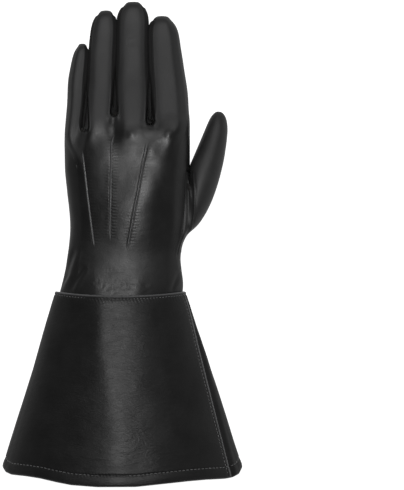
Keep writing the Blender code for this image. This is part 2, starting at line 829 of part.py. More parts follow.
def leather():
    material = bpy.data.materials.new("black_leather")
    material.use_nodes = True
    shader = material.node_tree.nodes["Principled BSDF"]
    shader.inputs["Base Color"].default_value = BLACK_LEATHER
    shader.inputs["Roughness"].default_value = 0.42
    shader.inputs["Metallic"].default_value = 0.0
    return material


def make_object(name, points, faces, material):
    mesh = bpy.data.meshes.new(name)
    work = bmesh.new()
    verts = [work.verts.new(p) for p in points]
    for corners in faces:
        work.faces.new([verts[n] for n in corners])
    bmesh.ops.recalc_face_normals(work, faces=work.faces)
    work.to_mesh(mesh)
    work.free()
    mesh.materials.append(material)
    mesh.shade_smooth()
    mesh.set_sharp_from_angle(angle=math.radians(50))
    piece = bpy.data.objects.new(name, mesh)
    bpy.context.scene.collection.objects.link(piece)
    return piece


def main():
    for old in list(bpy.data.objects):
        bpy.data.objects.remove(old)
    surface = Surface()
    weave_hand(surface)
    normals = smooth_normals(surface)
    pieces = [piece_solid(surface, normals, name) for name in sorted({name for name, _ in surface.faces})]
    pieces += [cuff_back(), cuff_palm()]
    every = [p for _, points, _ in pieces for p in points]
    low = Vector([min(p[axis] for p in every) for axis in range(3)])
    high = Vector([max(p[axis] for p in every) for axis in range(3)])
    origin = Vector(((low.x + high.x) / 2, (low.y + high.y) / 2, low.z))
    material = leather()
    for name, points, faces in pieces:
        make_object(name, [(p - origin) * MM for p in points], faces, material)


main()
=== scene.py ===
# Looks of a left-hand gauntlet glove in plain black leather, lying palm down on a pale floor.
# The tables are in millimetres, measured from the middle of the cuff's top seam and from the floor.
# ORIGIN moves them to the frame, whose origin is the middle of the glove's footprint, in metres.

import math
import random

import bpy
import numpy as np
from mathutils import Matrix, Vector, kdtree


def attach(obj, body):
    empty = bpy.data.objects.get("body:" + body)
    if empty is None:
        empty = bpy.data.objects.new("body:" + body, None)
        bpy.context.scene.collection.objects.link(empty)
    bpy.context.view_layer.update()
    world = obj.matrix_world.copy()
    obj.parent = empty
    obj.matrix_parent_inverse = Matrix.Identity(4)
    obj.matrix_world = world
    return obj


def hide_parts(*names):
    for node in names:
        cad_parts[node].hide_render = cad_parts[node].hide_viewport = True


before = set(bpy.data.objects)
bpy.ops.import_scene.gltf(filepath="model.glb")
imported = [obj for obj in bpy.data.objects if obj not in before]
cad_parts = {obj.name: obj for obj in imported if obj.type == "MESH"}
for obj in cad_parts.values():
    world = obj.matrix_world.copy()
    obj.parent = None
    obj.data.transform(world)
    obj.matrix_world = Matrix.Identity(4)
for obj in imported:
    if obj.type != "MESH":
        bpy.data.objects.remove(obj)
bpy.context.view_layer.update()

MM = 0.001
ORIGIN = (2.6, 36.75, 0.0)

# The photograph: its size in pixels, millimetres a pixel, and the pixel where the tables start
PHOTO_WIDE, PHOTO_HIGH = 404, 490
PIXEL = 0.78
START_PIXEL = (119, 292)

# Leather
HAND_WALL = 1.3
CUFF_WALL = 1.8
HEM_FOLD = 9.0

# Mesh density: quads across each finger's back, down each finger's side, and along each finger
ACROSS = 6
DEEP = 4
BANDS = (0.0, 0.1, 0.3, 0.5, 0.7, 0.9, 1.0)
FINGER_RINGS = (0.1, 0.24, 0.4, 0.56, 0.71, 0.84, 0.92, 0.968)
ROOT_POWER = 3
SIDE_ANGLE = math.radians(40)
BACK_POWERS = (2.3, 2.1)
PALM_POWERS = (2.8, 2.4)
# How rounded the hand's section is, from the cuff's own shape at the wrist: y, back powers, palm powers
HAND_POWERS = (
    (-9, 2.0, 1.6, 4.0, 2.2),
    (-2, 2.0, 1.6, 4.0, 2.2),
    (16, 2.3, 2.1, 2.8, 2.4),
    (131, 2.3, 2.1, 2.8, 2.4),
)

# The hand below the fingers: y, left, right, edge height, low, high
HAND_SECTIONS = (
    (-9, -48.6, 49.8, 15, 2.6, 37.0),
    (-4, -47.6, 49.0, 15, 2.6, 37.1),
    (2, -46.2, 51.2, 15, 2.6, 36.6),
    (8, -44.2, 50.4, 16, 2.2, 35.5),
    (18, -41.9, 48.6, 16, 1.4, 34.2),
    (30, -40.1, 48.2, 16, 0.4, 33.2),
    (42, -38.6, 51.6, 16, -0.6, 34.0),
    (56, -38.3, 53.8, 16, -1.0, 35.0),
    (70, -39.8, 54.8, 16, -1.0, 35.6),
    (84, -41.5, 55.2, 16, -0.8, 35.8),
    (98, -42.9, 55.6, 16, 0.0, 35.6),
    (109, -43.3, 55.9, 16, 1.4, 35.6),
    (120, -43.0, 55.7, 15.5, 2.8, 34.8),
    (131, -42.2, 55.3, 15, 4.0, 32.4),
)
PALM_ROWS = (-9, -4, 6, 18, 30, 42, 56, 70, 84, 98, 109, 120, 131)
# Where the fingers part, from the little finger's outer side to the index finger's: y of each crotch
CROTCH_Y = (121.0, 124.0, 135.7, 131.0, 129.0)
WEB_SAG = 1.2
FINGERS_FROM = 0.78
# The three pointed lines on the back, which run down from the crotches: y, x of each
POINT_LINES = (
    (-9, -17.5, -5.0, 9.0),
    (35, -19.1, -7.0, 7.0),
    (75, -24.3, -6.3, 14.3),
    (114, -28.9, -5.6, 21.4),
    (131, -28.9, -2.4, 24.3),
)
# Lines on the palm side: y, x under the first two crotches, the thumb seam's arc, x under the third crotch
PALM_LINES = (
    (-9, -24.0, -6.0, 18.0, 27.0),
    (18.6, -23.0, -7.0, 15.5, 24.0),
    (28.3, -23.0, -8.0, 11.5, 20.5),
    (39.4, -23.5, -9.0, 8.2, 17.5),
    (54.3, -24.0, -9.5, 7.4, 17.0),
    (70, -24.5, -9.0, 8.9, 18.5),
    (87, -25.5, -6.5, 15.3, 24.0),
    (102, -27.0, -3.0, 26.5, 31.5),
    (116, -28.5, -2.0, 20.0, 28.5),
    (131, -28.9, -2.4, 15.5, 24.3),
)

# Knuckles on the back, then the hollow of the palm and the gather over the cuff's rim:
# x and y of the middle, reach along x, reach along y, height
BACK_SWELLS = (
    (-36.0, 113.0, 8.0, 11.0, 1.2),
    (-15.0, 119.0, 9.0, 12.0, 1.5),
    (10.5, 121.0, 9.0, 12.0, 1.7),
    (38.5, 120.0, 10.0, 12.0, 1.7),
)
PALM_SWELLS = (
    (-6.0, 76.0, 20.0, 30.0, 4.0),
    (2.0, 13.0, 24.0, 8.0, -1.6),
)

# Each finger: name, tip x, y and height, length and height of its rounded end, turn in degrees, then
# its sections: y, left, right, low, high
FINGERS = (
    ("little", (-27.6, 193.8, 6.4), (14, 5.5), 16, (
        (121, -42.6, -29.2, 4.0, 27.0),
        (135, -41.6, -27.5, 2.0, 24.2),
        (150, -40.4, -26.0, 0.2, 21.0),
        (165, -39.8, -25.1, -0.7, 18.6),
        (176, -37.8, -24.5, -0.9, 17.0),
        (184, -36.4, -24.0, -0.9, 15.8),
        (194, -35.4, -23.4, -0.9, 15.0),
    )),
    ("ring", (-10.2, 219.7, 6.8), (16, 6), 5, (
        (130, -28.0, -3.0, 4.2, 30.8),
        (142, -26.4, -3.2, 2.4, 28.4),
        (155, -25.0, -3.2, 0.4, 25.2),
        (170, -24.0, -2.9, -0.7, 22.0),
        (185, -23.3, -2.4, -0.9, 19.4),
        (198, -22.2, -2.0, -0.9, 17.6),
        (208, -21.0, -1.7, -0.9, 16.5),
        (219, -20.0, -1.4, -0.9, 15.6),
    )),
    ("middle", (11.4, 226.3, 7.0), (17, 6), 0, (
        (134, -2.0, 23.6, 4.5, 32.2),
        (145, -2.6, 24.0, 2.8, 29.8),
        (157, -2.7, 23.8, 0.6, 26.8),
        (172, -2.4, 23.0, -0.7, 23.2),
        (187, -2.0, 22.5, -0.9, 20.6),
        (202, -1.6, 22.4, -0.9, 18.6),
        (214, -1.2, 22.4, -0.9, 17.2),
        (226, -0.8, 22.4, -0.9, 16.2),
    )),
    ("index", (32.9, 215.2, 7.0), (16, 6), -8, (
        (130, 24.8, 55.5, 4.2, 31.6),
        (142, 24.4, 54.6, 2.6, 29.2),
        (157, 24.2, 53.2, 0.4, 26.2),
        (170, 23.4, 51.5, -0.7, 23.4),
        (183, 22.9, 49.5, -0.9, 20.8),
        (195, 22.8, 47.8, -0.9, 18.8),
        (204, 22.8, 46.4, -0.9, 17.5),
        (215, 22.8, 45.2, -0.9, 16.4),
    )),
)
FINGER_BACK_POWERS = (2.7, 4.2)
# The hand's own outer sides, where a finger is as round as the hand: -1 on its left, 1 on its right
OUTER_SIDES = {"little": -1, "index": 1}
END_POWER = 2.1

# The thumb: inner edge x and y, outer edge x and y, low, high
THUMB_SECTIONS = (
    (54.6, 86.0, 62.5, 53.0, 0.0, 26.0),
    (54.8, 95.5, 71.2, 68.0, -0.6, 26.0),
    (56.8, 102.5, 77.2, 84.5, -0.9, 25.0),
    (60.2, 111.0, 81.4, 100.5, -0.9, 23.0),
    (64.3, 121.0, 83.7, 115.5, -0.9, 20.0),
    (68.2, 130.0, 84.6, 126.5, -0.9, 17.5),
    (71.6, 136.6, 83.6, 135.2, 0.2, 14.8),
)
THUMB_SIDE_ANGLE = math.radians(45)
THUMB_POWERS = (2.2, 2.1)
THUMB_TIP_REACH = 5.0
THUMB_JOIN_RINGS = 2
# The thumb piece's part of the hand mesh: its first and last rows and its palm-side line, the seam's arc
BALL_ROWS = (3, 9)
TUBE_ROW = 5
TUBE_LINES = 2
ARC_LINE = 16
QUIRK_DIP = 17.0
QUIRK_POWER = 1.3
QUIRK_SHARE = {5: 0.06, 6: 0.25, 7: 0.5, 8: 0.76, 9: 1.0, 10: 0.5, 11: 0.15}

# The cuff: share of the way from rim to hem, left, right, edge height, low, high
CUFF_SECTIONS = (
    (0.0, -49.4, 51.4, 15.0, -2.0, 40.0),
    (0.25, -59.7, 63.0, 13.5, -2.0, 43.5),
    (0.5, -70.0, 74.5, 12.0, -2.0, 46.5),
    (0.75, -80.9, 85.8, 10.5, -1.8, 49.5),
    (1.0, -91.3, 96.6, 9.0, -1.6, 52.0),
)
CUFF_BACK_POWERS = (2.0, 1.6)
CUFF_PALM_POWERS = (4.0, 2.2)
# The rim: y in the middle of the back, rise at the edges, power of the curve, y on the palm side.
# The hem: its lowest y, then place across from -1 at the little-finger edge to 1 at the thumb edge with y,
# and how much higher it runs on the palm side
RIM_Y = (-2.4, 3.2, 2.2, 0.3)
HEM_Y = -150.4
HEM_LINE = (
    (-1.0, -137.0),
    (-0.975, -140.2),
    (-0.93, -141.8),
    (-0.80, -142.7),
    (-0.68, -144.2),
    (-0.54, -147.0),
    (-0.42, -149.0),
    (-0.2, -150.4),
    (0.12, -150.2),
    (0.33, -148.2),
    (0.55, -146.2),
    (0.70, -145.2),
    (0.86, -144.8),
    (0.93, -143.8),
    (0.975, -141.6),
    (1.0, -137.2),
)
PALM_HEM_UP = 1.2
PALM_EASE = 2.5
# How far from each outer edge the back panel's seams run: share of the way from rim to hem, distance
LAP_EDGE = ((0.0, 0.5), (0.13, 0.9), (0.32, 3.0), (0.5, 4.6), (0.7, 6.2), (1.0, 8.3))


def ease(share):
    """Eases a share from 0 to 1."""
    share = np.clip(share, 0.0, 1.0)
    return share * share * (3 - 2 * share)


def bell(distance, width):
    return np.exp(-((distance / width) ** 2))


def mix(a, b, share):
    return a + (b - a) * share


def read(table, where):
    """The table's values at this place, on a smooth curve through its rows."""
    last = len(table) - 1
    k = 0
    while k < last - 1 and where > table[k + 1][0]:
        k += 1
    row, after = table[k], table[k + 1]
    before, beyond = table[max(k - 1, 0)], table[min(k + 2, last)]
    span = after[0] - row[0]
    u = min(max((where - row[0]) / span, 0.0), 1.0)
    values = []
    for c in range(1, len(row)):
        start = (after[c] - before[c]) / (after[0] - before[0])
        end = (beyond[c] - row[c]) / (beyond[0] - row[0])
        values.append(
            (1 + 2 * u) * (1 - u) ** 2 * row[c]
            + u * (1 - u) ** 2 * span * start
            + u * u * (3 - 2 * u) * after[c]
            + u * u * (u - 1) * span * end
        )
    return values


def rounded(angle, powers):
    """Point of a rounded outline with half sizes of one, at this angle from +X."""
    across, up = math.cos(angle), math.sin(angle)
    return (
        math.copysign(abs(across) ** (2 / powers[0]), across),
        math.copysign(abs(up) ** (2 / powers[1]), up),
    )


def section_point(left, right, edge, low, high, angle, powers_up, powers_down):
    """x and height on a section: back above the edge height, palm side below, flat on the floor."""
    f, g = rounded(angle, powers_up if math.sin(angle) >= 0 else powers_down)
    x = (left + right) / 2 + (right - left) / 2 * f
    z = edge + ((high - edge) if g >= 0 else (edge - low)) * g
    return x, max(z, 0.0)


def angle_across(x, left, right, power):
    """Angle on the section's upper half at which it has this x."""
    f = (x - (left + right) / 2) / ((right - left) / 2)
    f = min(max(f, -0.999), 0.999)
    return math.acos(math.copysign(abs(f) ** (power / 2), f))


# Hand

LINES = 4 * ACROSS


def swell(table, x, y):
    """Height that the swells of a table add here."""
    return sum(
        height * bell(x - at_x, reach_x) * bell(y - at_y, reach_y)
        for at_x, at_y, reach_x, reach_y, height in table
    )


def band_x(line, stops):
    """x of a lengthwise line, between the stops at every finger's edge."""
    finger = min(line // ACROSS, 3)
    return mix(stops[finger], stops[finger + 1], BANDS[line - finger * ACROSS])


def crotch_y(line):
    finger = min(line // ACROSS, 3)
    return mix(CROTCH_Y[finger], CROTCH_Y[finger + 1], BANDS[line - finger * ACROSS])


def row_y(row, line):
    """y of a row of the hand at a line: straight at the wrist, bent through the crotches at the top."""
    share = (PALM_ROWS[row] - PALM_ROWS[0]) / (PALM_ROWS[-1] - PALM_ROWS[0])
    return PALM_ROWS[row] + (crotch_y(line) - PALM_ROWS[-1]) * share * share


def palm_x(line, y, edges):
    """x of a palm-side line, where the thumb seam's arc is one of the lines."""
    first, second, arc, third = read(PALM_LINES, y)
    stops = ((0, edges[0]), (6, first), (12, second), (ARC_LINE, arc), (18, third), (LINES, edges[1]))
    for (a, xa), (b, xb) in zip(stops, stops[1:]):
        if line <= b:
            whole = BANDS[b % ACROSS] if b % ACROSS else 1.0
            start = BANDS[a % ACROSS] if a % ACROSS else 0.0
            here = BANDS[line % ACROSS] if line % ACROSS else (0.0 if line == a else 1.0)
            return mix(xa, xb, (here - start) / (whole - start))
    return edges[1]


def quirk(row, line):
    """How far the thumb seam's upper edge dips between its apex and the hand's edge.

    The line counts on past the palm.
    """
    share = QUIRK_SHARE.get(row, 0.0)
    along = (line - ARC_LINE) / (LINES + DEEP - ARC_LINE)
    if share == 0.0 or along <= 0 or along >= 1:
        return 0.0
    return -QUIRK_DIP * share * math.sin(math.pi * along) ** QUIRK_POWER


def hand_powers(y):
    powers = read(HAND_POWERS, y)
    return powers[:2], powers[2:]


def hand_back(row, line):
    y = row_y(row, line)
    left, right, edge, low, high = read(HAND_SECTIONS, y)
    back, palm = hand_powers(y)
    f = rounded(SIDE_ANGLE, back)[0]
    middle, half = (left + right) / 2, (right - left) / 2
    x = band_x(line, (middle - f * half, *read(POINT_LINES, y), middle + f * half))
    angle = angle_across(x, left, right, back[0])
    x, z = section_point(left, right, edge, low, high, angle, back, palm)
    return Vector((x, y, z + swell(BACK_SWELLS, x, y)))


def hand_palm(row, line):
    y = row_y(row, line) + quirk(row, line)
    left, right, edge, low, high = read(HAND_SECTIONS, y)
    back, palm = hand_powers(y)
    f = rounded(SIDE_ANGLE, palm)[0]
    middle, half = (left + right) / 2, (right - left) / 2
    x = palm_x(line, y, (middle - f * half, middle + f * half))
    angle = -angle_across(x, left, right, palm[0])
    x, z = section_point(left, right, edge, low, high, angle, back, palm)
    return Vector((x, y, max(z + swell(PALM_SWELLS, x, y), 0.0)))


def hand_side(row, step, index_side):
    """A point on the hand's outer side, a step down from its back."""
    line = LINES if index_side else 0
    y = row_y(row, line) + (quirk(row, LINES + DEEP - step) if index_side else 0.0)
    left, right, edge, low, high = read(HAND_SECTIONS, y)
    angle = mix(SIDE_ANGLE, -SIDE_ANGLE, step / DEEP)
    if not index_side:
        angle = math.pi - angle
    x, z = section_point(left, right, edge, low, high, angle, *hand_powers(y))
    return Vector((x, y, z))


def end_scale(y, tip, reach):
    """How far a finger's section has shrunk at this place of its rounded end."""
    past = min(max((y - tip + reach) / reach, 0.0), 1.0)
    return (1 - past**END_POWER) ** (1 / END_POWER)


def finger_point(finger, angle, y):
    """A point round a finger, whose end is rounded off about its tip."""
    name, tip, (long, tall), turn, sections = finger
    left, right, low, high = read(sections, y)
    angle += math.radians(turn)
    outer = ease(math.cos(angle) * OUTER_SIDES.get(name, 0) * 1.5)
    powers = [mix(square, full, outer) for square, full in zip(FINGER_BACK_POWERS, BACK_POWERS)]
    x, z = section_point(left, right, (low + high) / 2, low, high, angle, powers, PALM_POWERS)
    x = tip[0] + (x - tip[0]) * end_scale(y, tip[1], long)
    z = tip[2] + (z - tip[2]) * end_scale(y, tip[1], tall)
    return Vector((x, y, z))


def finger_angles(part, step):
    """Angle of a point round a finger.

    Back and palm run left to right, the right side down and the left side up.
    """
    across = math.pi - 2 * SIDE_ANGLE
    if part == "back":
        return math.pi - SIDE_ANGLE - across * BANDS[step]
    if part == "right":
        return SIDE_ANGLE - 2 * SIDE_ANGLE * step / DEEP
    if part == "palm":
        return -math.pi + SIDE_ANGLE + across * BANDS[step]
    return -math.pi + SIDE_ANGLE - 2 * SIDE_ANGLE * step / DEEP


class Surface:
    """The outer faces of the glove, each marked with the piece that it belongs to."""

    def __init__(self):
        self.points = []
        self.faces = []

    def add(self, point):
        self.points.append(point)
        return len(self.points) - 1

    def face(self, piece, *corners):
        self.faces.append((piece, corners))

    def band(self, first, second, piece_of):
        """Quads between two closed loops."""
        count = len(first)
        for n in range(count):
            m = (n + 1) % count
            self.face(piece_of(n), first[n], first[m], second[m], second[n])

    def cap(self, loop, wide, deep, reach, piece):
        """Closes a loop of 2 x (wide + deep) points with a grid that bulges along reach."""
        grid = [[None] * (deep + 1) for _ in range(wide + 1)]
        for a in range(wide + 1):
            grid[a][0] = loop[a]
            grid[a][deep] = loop[2 * wide + deep - a]
        for d in range(deep + 1):
            grid[wide][d] = loop[wide + d]
            grid[0][d] = loop[(-d) % len(loop)]
        for a in range(1, wide):
            for d in range(1, deep):
                u, v = a / wide, d / deep
                flat = (
                    mix(self.points[grid[0][d]], self.points[grid[wide][d]], u)
                    + mix(self.points[grid[a][0]], self.points[grid[a][deep]], v)
                ) / 2
                bulge = math.sqrt(16 * u * (1 - u) * v * (1 - v))
                grid[a][d] = self.add(flat + reach * bulge)
        for a in range(wide):
            for d in range(deep):
                self.face(piece, grid[a][d], grid[a + 1][d], grid[a + 1][d + 1], grid[a][d + 1])


def hand_rows(surface):
    """The hand from the wrist to the crotches: each row as its back, index side, palm and little side."""
    last = len(PALM_ROWS) - 1
    rows = []
    for row in range(last + 1):
        blend = ease((row / last - FINGERS_FROM) / (1 - FINGERS_FROM))
        parts = {
            "back": [hand_back(row, line) for line in range(LINES + 1)],
            "palm": [hand_palm(row, line) for line in range(LINES + 1)],
            "right": [hand_side(row, step, True) for step in range(1, DEEP)],
            "left": [hand_side(row, DEEP - step, False) for step in range(1, DEEP)],
        }
        if blend > 0:
            towards_fingers(parts, blend)
        rows.append({part: [surface.add(p) for p in points] for part, points in parts.items()})
    return rows


def towards_fingers(parts, blend):
    """Draws a row towards the fingers' own sections: knuckles and valleys form below the crotches."""
    for part in ("back", "palm"):
        sums = [[Vector(), 0] for _ in range(LINES + 1)]
        for k, finger in enumerate(FINGERS):
            for step in range(ACROSS + 1):
                line = k * ACROSS + step
                base = max(parts[part][line].y, finger[4][0][0])
                aim = finger_point(finger, finger_angles(part, step), base)
                sums[line][0] += Vector((aim.x, parts[part][line].y, aim.z))
                sums[line][1] += 1
        for line, (total, count) in enumerate(sums):
            parts[part][line] = mix(parts[part][line], total / count, blend)
    for part, finger in (("right", FINGERS[3]), ("left", FINGERS[0])):
        for n, point in enumerate(parts[part]):
            aim = finger_point(finger, finger_angles(part, n + 1), max(point.y, finger[4][0][0]))
            parts[part][n] = mix(point, Vector((aim.x, point.y, aim.z)), blend)


def loop_of(row):
    return row["back"] + row["right"] + row["palm"][::-1] + row["left"]


def weave_hand(surface):
    rows = hand_rows(surface)
    loops = [loop_of(row) for row in rows]
    ball = range(LINES + 1, 2 * LINES + DEEP - ARC_LINE)
    tube = range(LINES + 1, LINES + DEEP + TUBE_LINES)
    for j in range(len(loops) - 1):
        in_ball_rows = BALL_ROWS[0] <= j < BALL_ROWS[1]
        for n in range(len(loops[j])):
            m = (n + 1) % len(loops[j])
            if in_ball_rows and j >= TUBE_ROW and n in tube:
                continue
            piece = "thumb" if in_ball_rows and n in ball else "trank"
            surface.face(piece, loops[j][n], loops[j][m], loops[j + 1][m], loops[j + 1][n])
    weave_fingers(surface, rows[-1])
    weave_thumb(surface, loops, tube)


def weave_fingers(surface, top):
    webs = []
    for k in (1, 2, 3):
        upper, lower = (surface.points[top[part][k * ACROSS]] for part in ("back", "palm"))
        web = []
        for step in range(1, DEEP):
            share = step / DEEP
            point = mix(upper, lower, share)
            point.y -= WEB_SAG * math.sin(math.pi * share)
            web.append(surface.add(point))
        webs.append(web)
    webs = [top["left"][::-1], *webs, top["right"]]
    for k, finger in enumerate(FINGERS):
        start = k * ACROSS
        loop = (
            top["back"][start : start + ACROSS + 1]
            + webs[k + 1]
            + top["palm"][start : start + ACROSS + 1][::-1]
            + webs[k][::-1]
        )
        weave_finger(surface, k, finger, loop)


def fourchette_names(k):
    """The pieces on a finger's left and right sides."""
    forks = ["trank"] + [f"fourchette_{a[0]}_{b[0]}" for a, b in zip(FINGERS, FINGERS[1:])] + ["trank"]
    return forks[k], forks[k + 1]


def weave_finger(surface, k, finger, loop):
    left_piece, right_piece = fourchette_names(k)
    angles = (
        [finger_angles("back", n) for n in range(ACROSS + 1)]
        + [finger_angles("right", n) for n in range(1, DEEP)]
        + [finger_angles("palm", n) for n in range(ACROSS, -1, -1)]
        + [finger_angles("left", n) for n in range(1, DEEP)]
    )
    base = [surface.points[n].y for n in loop]
    root = sum(base) / len(base)

    def piece_of(n):
        if ACROSS <= n < ACROSS + DEEP:
            return right_piece
        return left_piece if n >= 2 * ACROSS + DEEP else "trank"

    for share in FINGER_RINGS:
        ring = []
        for n, angle in enumerate(angles):
            y = mix(root, finger[1][1], share) + (base[n] - root) * (1 - share) ** ROOT_POWER
            ring.append(surface.add(finger_point(finger, angle, y)))
        surface.band(loop, ring, piece_of)
        loop = ring
    reach = Vector((0, finger[1][1] - surface.points[loop[0]].y, 0))
    surface.cap(loop, ACROSS, DEEP, reach, "trank")


def thumb_ring(section, wide, deep):
    """Points round the thumb from its outer side's top, down and round under to its back."""
    inner, outer = Vector((section[0], section[1], 0)), Vector((section[2], section[3], 0))
    low, high = section[4:]
    turns = (
        (THUMB_SIDE_ANGLE, -THUMB_SIDE_ANGLE, wide),
        (-THUMB_SIDE_ANGLE, THUMB_SIDE_ANGLE - math.pi, deep),
        (THUMB_SIDE_ANGLE - math.pi, -THUMB_SIDE_ANGLE - math.pi, wide),
        (-THUMB_SIDE_ANGLE - math.pi, THUMB_SIDE_ANGLE - 2 * math.pi, deep),
    )
    ring = []
    for start, end, count in turns:
        for n in range(count):
            f, g = rounded(mix(start, end, n / count), THUMB_POWERS)
            point = mix(inner, outer, (1 + f) / 2)
            point.z = max((low + high) / 2 + (high - low) / 2 * g, 0.0)
            ring.append(point)
    return ring


def weave_thumb(surface, loops, tube):
    """The thumb grows from the hole in the hand mesh that its faces left."""
    wide, deep = len(tube), BALL_ROWS[1] - TUBE_ROW
    first, last = tube[0], tube[-1] + 1
    loop = [loops[TUBE_ROW][n] for n in range(first, last)]
    loop += [loops[j][last] for j in range(TUBE_ROW, BALL_ROWS[1])]
    loop += [loops[BALL_ROWS[1]][n] for n in range(last, first, -1)]
    loop += [loops[j][first] for j in range(BALL_ROWS[1], TUBE_ROW, -1)]
    rings = [thumb_ring(section, wide, deep) for section in THUMB_SECTIONS]
    hole = [surface.points[n] for n in loop]
    for step in range(1, THUMB_JOIN_RINGS):
        share = step / THUMB_JOIN_RINGS
        joining = [mix(a, b, share) for a, b in zip(hole, rings[0])]
        rings.insert(step - 1, joining)
    for points in rings:
        ring = [surface.add(point) for point in points]
        surface.band(loop, ring, lambda n: "thumb")
        loop = ring
    end = THUMB_SECTIONS[-1]
    along = Vector((end[1] - end[3], end[2] - end[0], 0)).normalized()
    surface.cap(loop, wide, deep, along * THUMB_TIP_REACH, "thumb")


# Fine surface of the hand

# Subdivision levels of the outside, of the inside and of the fit, the fit's rounds and the share of each
LEVELS = 3
INSIDE_LEVELS = 2
FIT_LEVELS = 2
FIT_ROUNDS = 3
FIT_SHARE = 0.9
PIECES = (
    "trank",
    "thumb",
    "fourchette_little_ring",
    "fourchette_ring_middle",
    "fourchette_middle_index",
)
FIRST_FORK = 2
# Spacing of the points that stand for a seam
SEAM_STEP = 0.2
# The table behind the smooth noise: its size, and the primes that mix a cell's three numbers
NOISE_TABLE = 4096
NOISE_PRIMES = (73856093, 19349663, 83492791)


def to_frame(points):
    """Table millimetres to metres in the frame."""
    return (np.asarray(points, dtype=float) - np.array(ORIGIN)) * MM


def at_pixel(px, py):
    """Table x and y of a pixel of the photograph."""
    return (px - START_PIXEL[0]) * PIXEL, (START_PIXEL[1] - py) * PIXEL


class Mesh:
    """Points and four-cornered faces as arrays, each face with the number of its piece."""

    def __init__(self, points, quads, marks):
        self.points = np.array(points, dtype=float)
        self.quads = np.array(quads, dtype=int)
        self.marks = np.array(marks, dtype=int)

    def normals(self):
        a, b, c, d = (self.points[self.quads[:, n]] for n in range(4))
        face = np.cross(c - a, d - b)
        normals = np.zeros_like(self.points)
        for n in range(4):
            np.add.at(normals, self.quads[:, n], face)
        return normals / np.maximum(np.linalg.norm(normals, axis=1, keepdims=True), 1e-12)

    def push(self, heights):
        """Moves every point out along its normal."""
        self.points += self.normals() * np.asarray(heights)[:, None]

    def relax(self, weight, rounds):
        """Evens out the points where the weight says so."""
        edges = np.concatenate([self.quads[:, [n, (n + 1) % 4]] for n in range(4)])
        edges = np.unique(np.sort(edges, axis=1), axis=0)
        here, there = np.concatenate([edges, edges[:, ::-1]]).T
        count = np.bincount(here, minlength=len(self.points))
        for _ in range(rounds):
            sums = [np.bincount(here, axis[there], len(count)) for axis in self.points.T]
            mean = np.stack(sums, axis=1) / count[:, None]
            self.points += (mean - self.points) * np.asarray(weight)[:, None]


def subdivided(surface, levels):
    """The surface after smooth subdivision, which still passes through the surface's own points."""
    aim = np.array([tuple(p) for p in surface.points])
    cage = aim.copy()
    for _ in range(FIT_ROUNDS):
        cage += FIT_SHARE * (aim - smoothed(surface, cage, FIT_LEVELS).points[: len(aim)])
    return smoothed(surface, cage, levels)


def smoothed(surface, points, levels):
    mesh = bpy.data.meshes.new("cage")
    mesh.from_pydata([tuple(p) for p in points], [], [corners for _, corners in surface.faces])
    for _ in PIECES:
        mesh.materials.append(None)
    for polygon, (name, _) in zip(mesh.polygons, surface.faces):
        polygon.material_index = PIECES.index(name)
    cage = bpy.data.objects.new("cage", mesh)
    bpy.context.scene.collection.objects.link(cage)
    smoothing = cage.modifiers.new("smooth", "SUBSURF")
    smoothing.levels = smoothing.render_levels = levels
    smoothing.boundary_smooth = "PRESERVE_CORNERS"
    fine = cage.evaluated_get(bpy.context.evaluated_depsgraph_get()).to_mesh()
    points = np.empty(len(fine.vertices) * 3)
    fine.vertices.foreach_get("co", points)
    corners = np.empty(len(fine.loops), dtype=np.int32)
    fine.loops.foreach_get("vertex_index", corners)
    marks = np.empty(len(fine.polygons), dtype=np.int32)
    fine.polygons.foreach_get("material_index", marks)
    bpy.data.objects.remove(cage)
    bpy.data.meshes.remove(mesh)
    return Mesh(points.reshape(-1, 3), corners.reshape(-1, 4), marks)


def lattice_noise(points, size, seed):
    """Smooth noise from -1 to 1 whose bumps have about this size, in mm."""
    table = np.random.default_rng(seed).uniform(-1, 1, NOISE_TABLE)
    p = np.asarray(points) / size + 100.0
    cell = np.floor(p).astype(int)
    u = ease(p - cell)
    value = np.zeros(len(p))
    for corner in np.ndindex(2, 2, 2):
        x, y, z = ((cell[:, n] + corner[n]) * NOISE_PRIMES[n] for n in range(3))
        share = np.prod(np.abs(1 - np.array(corner) - u), axis=1)
        value += table[(x ^ y ^ z) & (NOISE_TABLE - 1)] * share
    return value


def waves(points, table):
    """Soft unevenness: height, size and seed of each layer."""
    return sum(height * lattice_noise(points, size, seed) for height, size, seed in table)


def path_distance(points, path):
    """How far each point lies from a path in plan, the share along it, and its side, + on the left."""
    best = np.full(len(points), 1e9)
    along = np.zeros(len(points))
    side = np.ones(len(points))
    path = [np.array(p, dtype=float) for p in path]
    lengths = [0.0]
    for a, b in zip(path, path[1:]):
        lengths.append(lengths[-1] + np.linalg.norm(b - a))
    for k, (a, b) in enumerate(zip(path, path[1:])):
        run = b - a
        size = np.linalg.norm(run)
        share = np.clip(((points[:, :2] - a) @ run) / size**2, 0, 1)
        off = points[:, :2] - (a + share[:, None] * run)
        distance = np.linalg.norm(off, axis=1)
        nearer = distance < best
        best[nearer] = distance[nearer]
        along[nearer] = (lengths[k] + share[nearer] * size) / lengths[-1]
        side[nearer] = np.sign(run[0] * off[nearer, 1] - run[1] * off[nearer, 0])
    return best, along, side


def crease(points, weight, path, depth, width, lip=0.4):
    """Height of a crease that fades out at its ends, with a lip along its left."""
    low = np.min(path, axis=0) - 5 * width
    high = np.max(path, axis=0) + 5 * width
    heights = np.zeros(len(points))
    near = np.all((points[:, :2] > low) & (points[:, :2] < high), axis=1) & (weight > 0.01)
    distance, along, side = path_distance(points[near], path)
    fade = np.sqrt(np.clip(np.sin(np.pi * np.clip(along, 0, 1)), 0, 1))
    shape = -bell(distance, width) + lip * bell(distance * side - 1.9 * width, 1.1 * width)
    heights[near] = depth * fade * shape * weight[near]
    return heights


# Relief of the hand

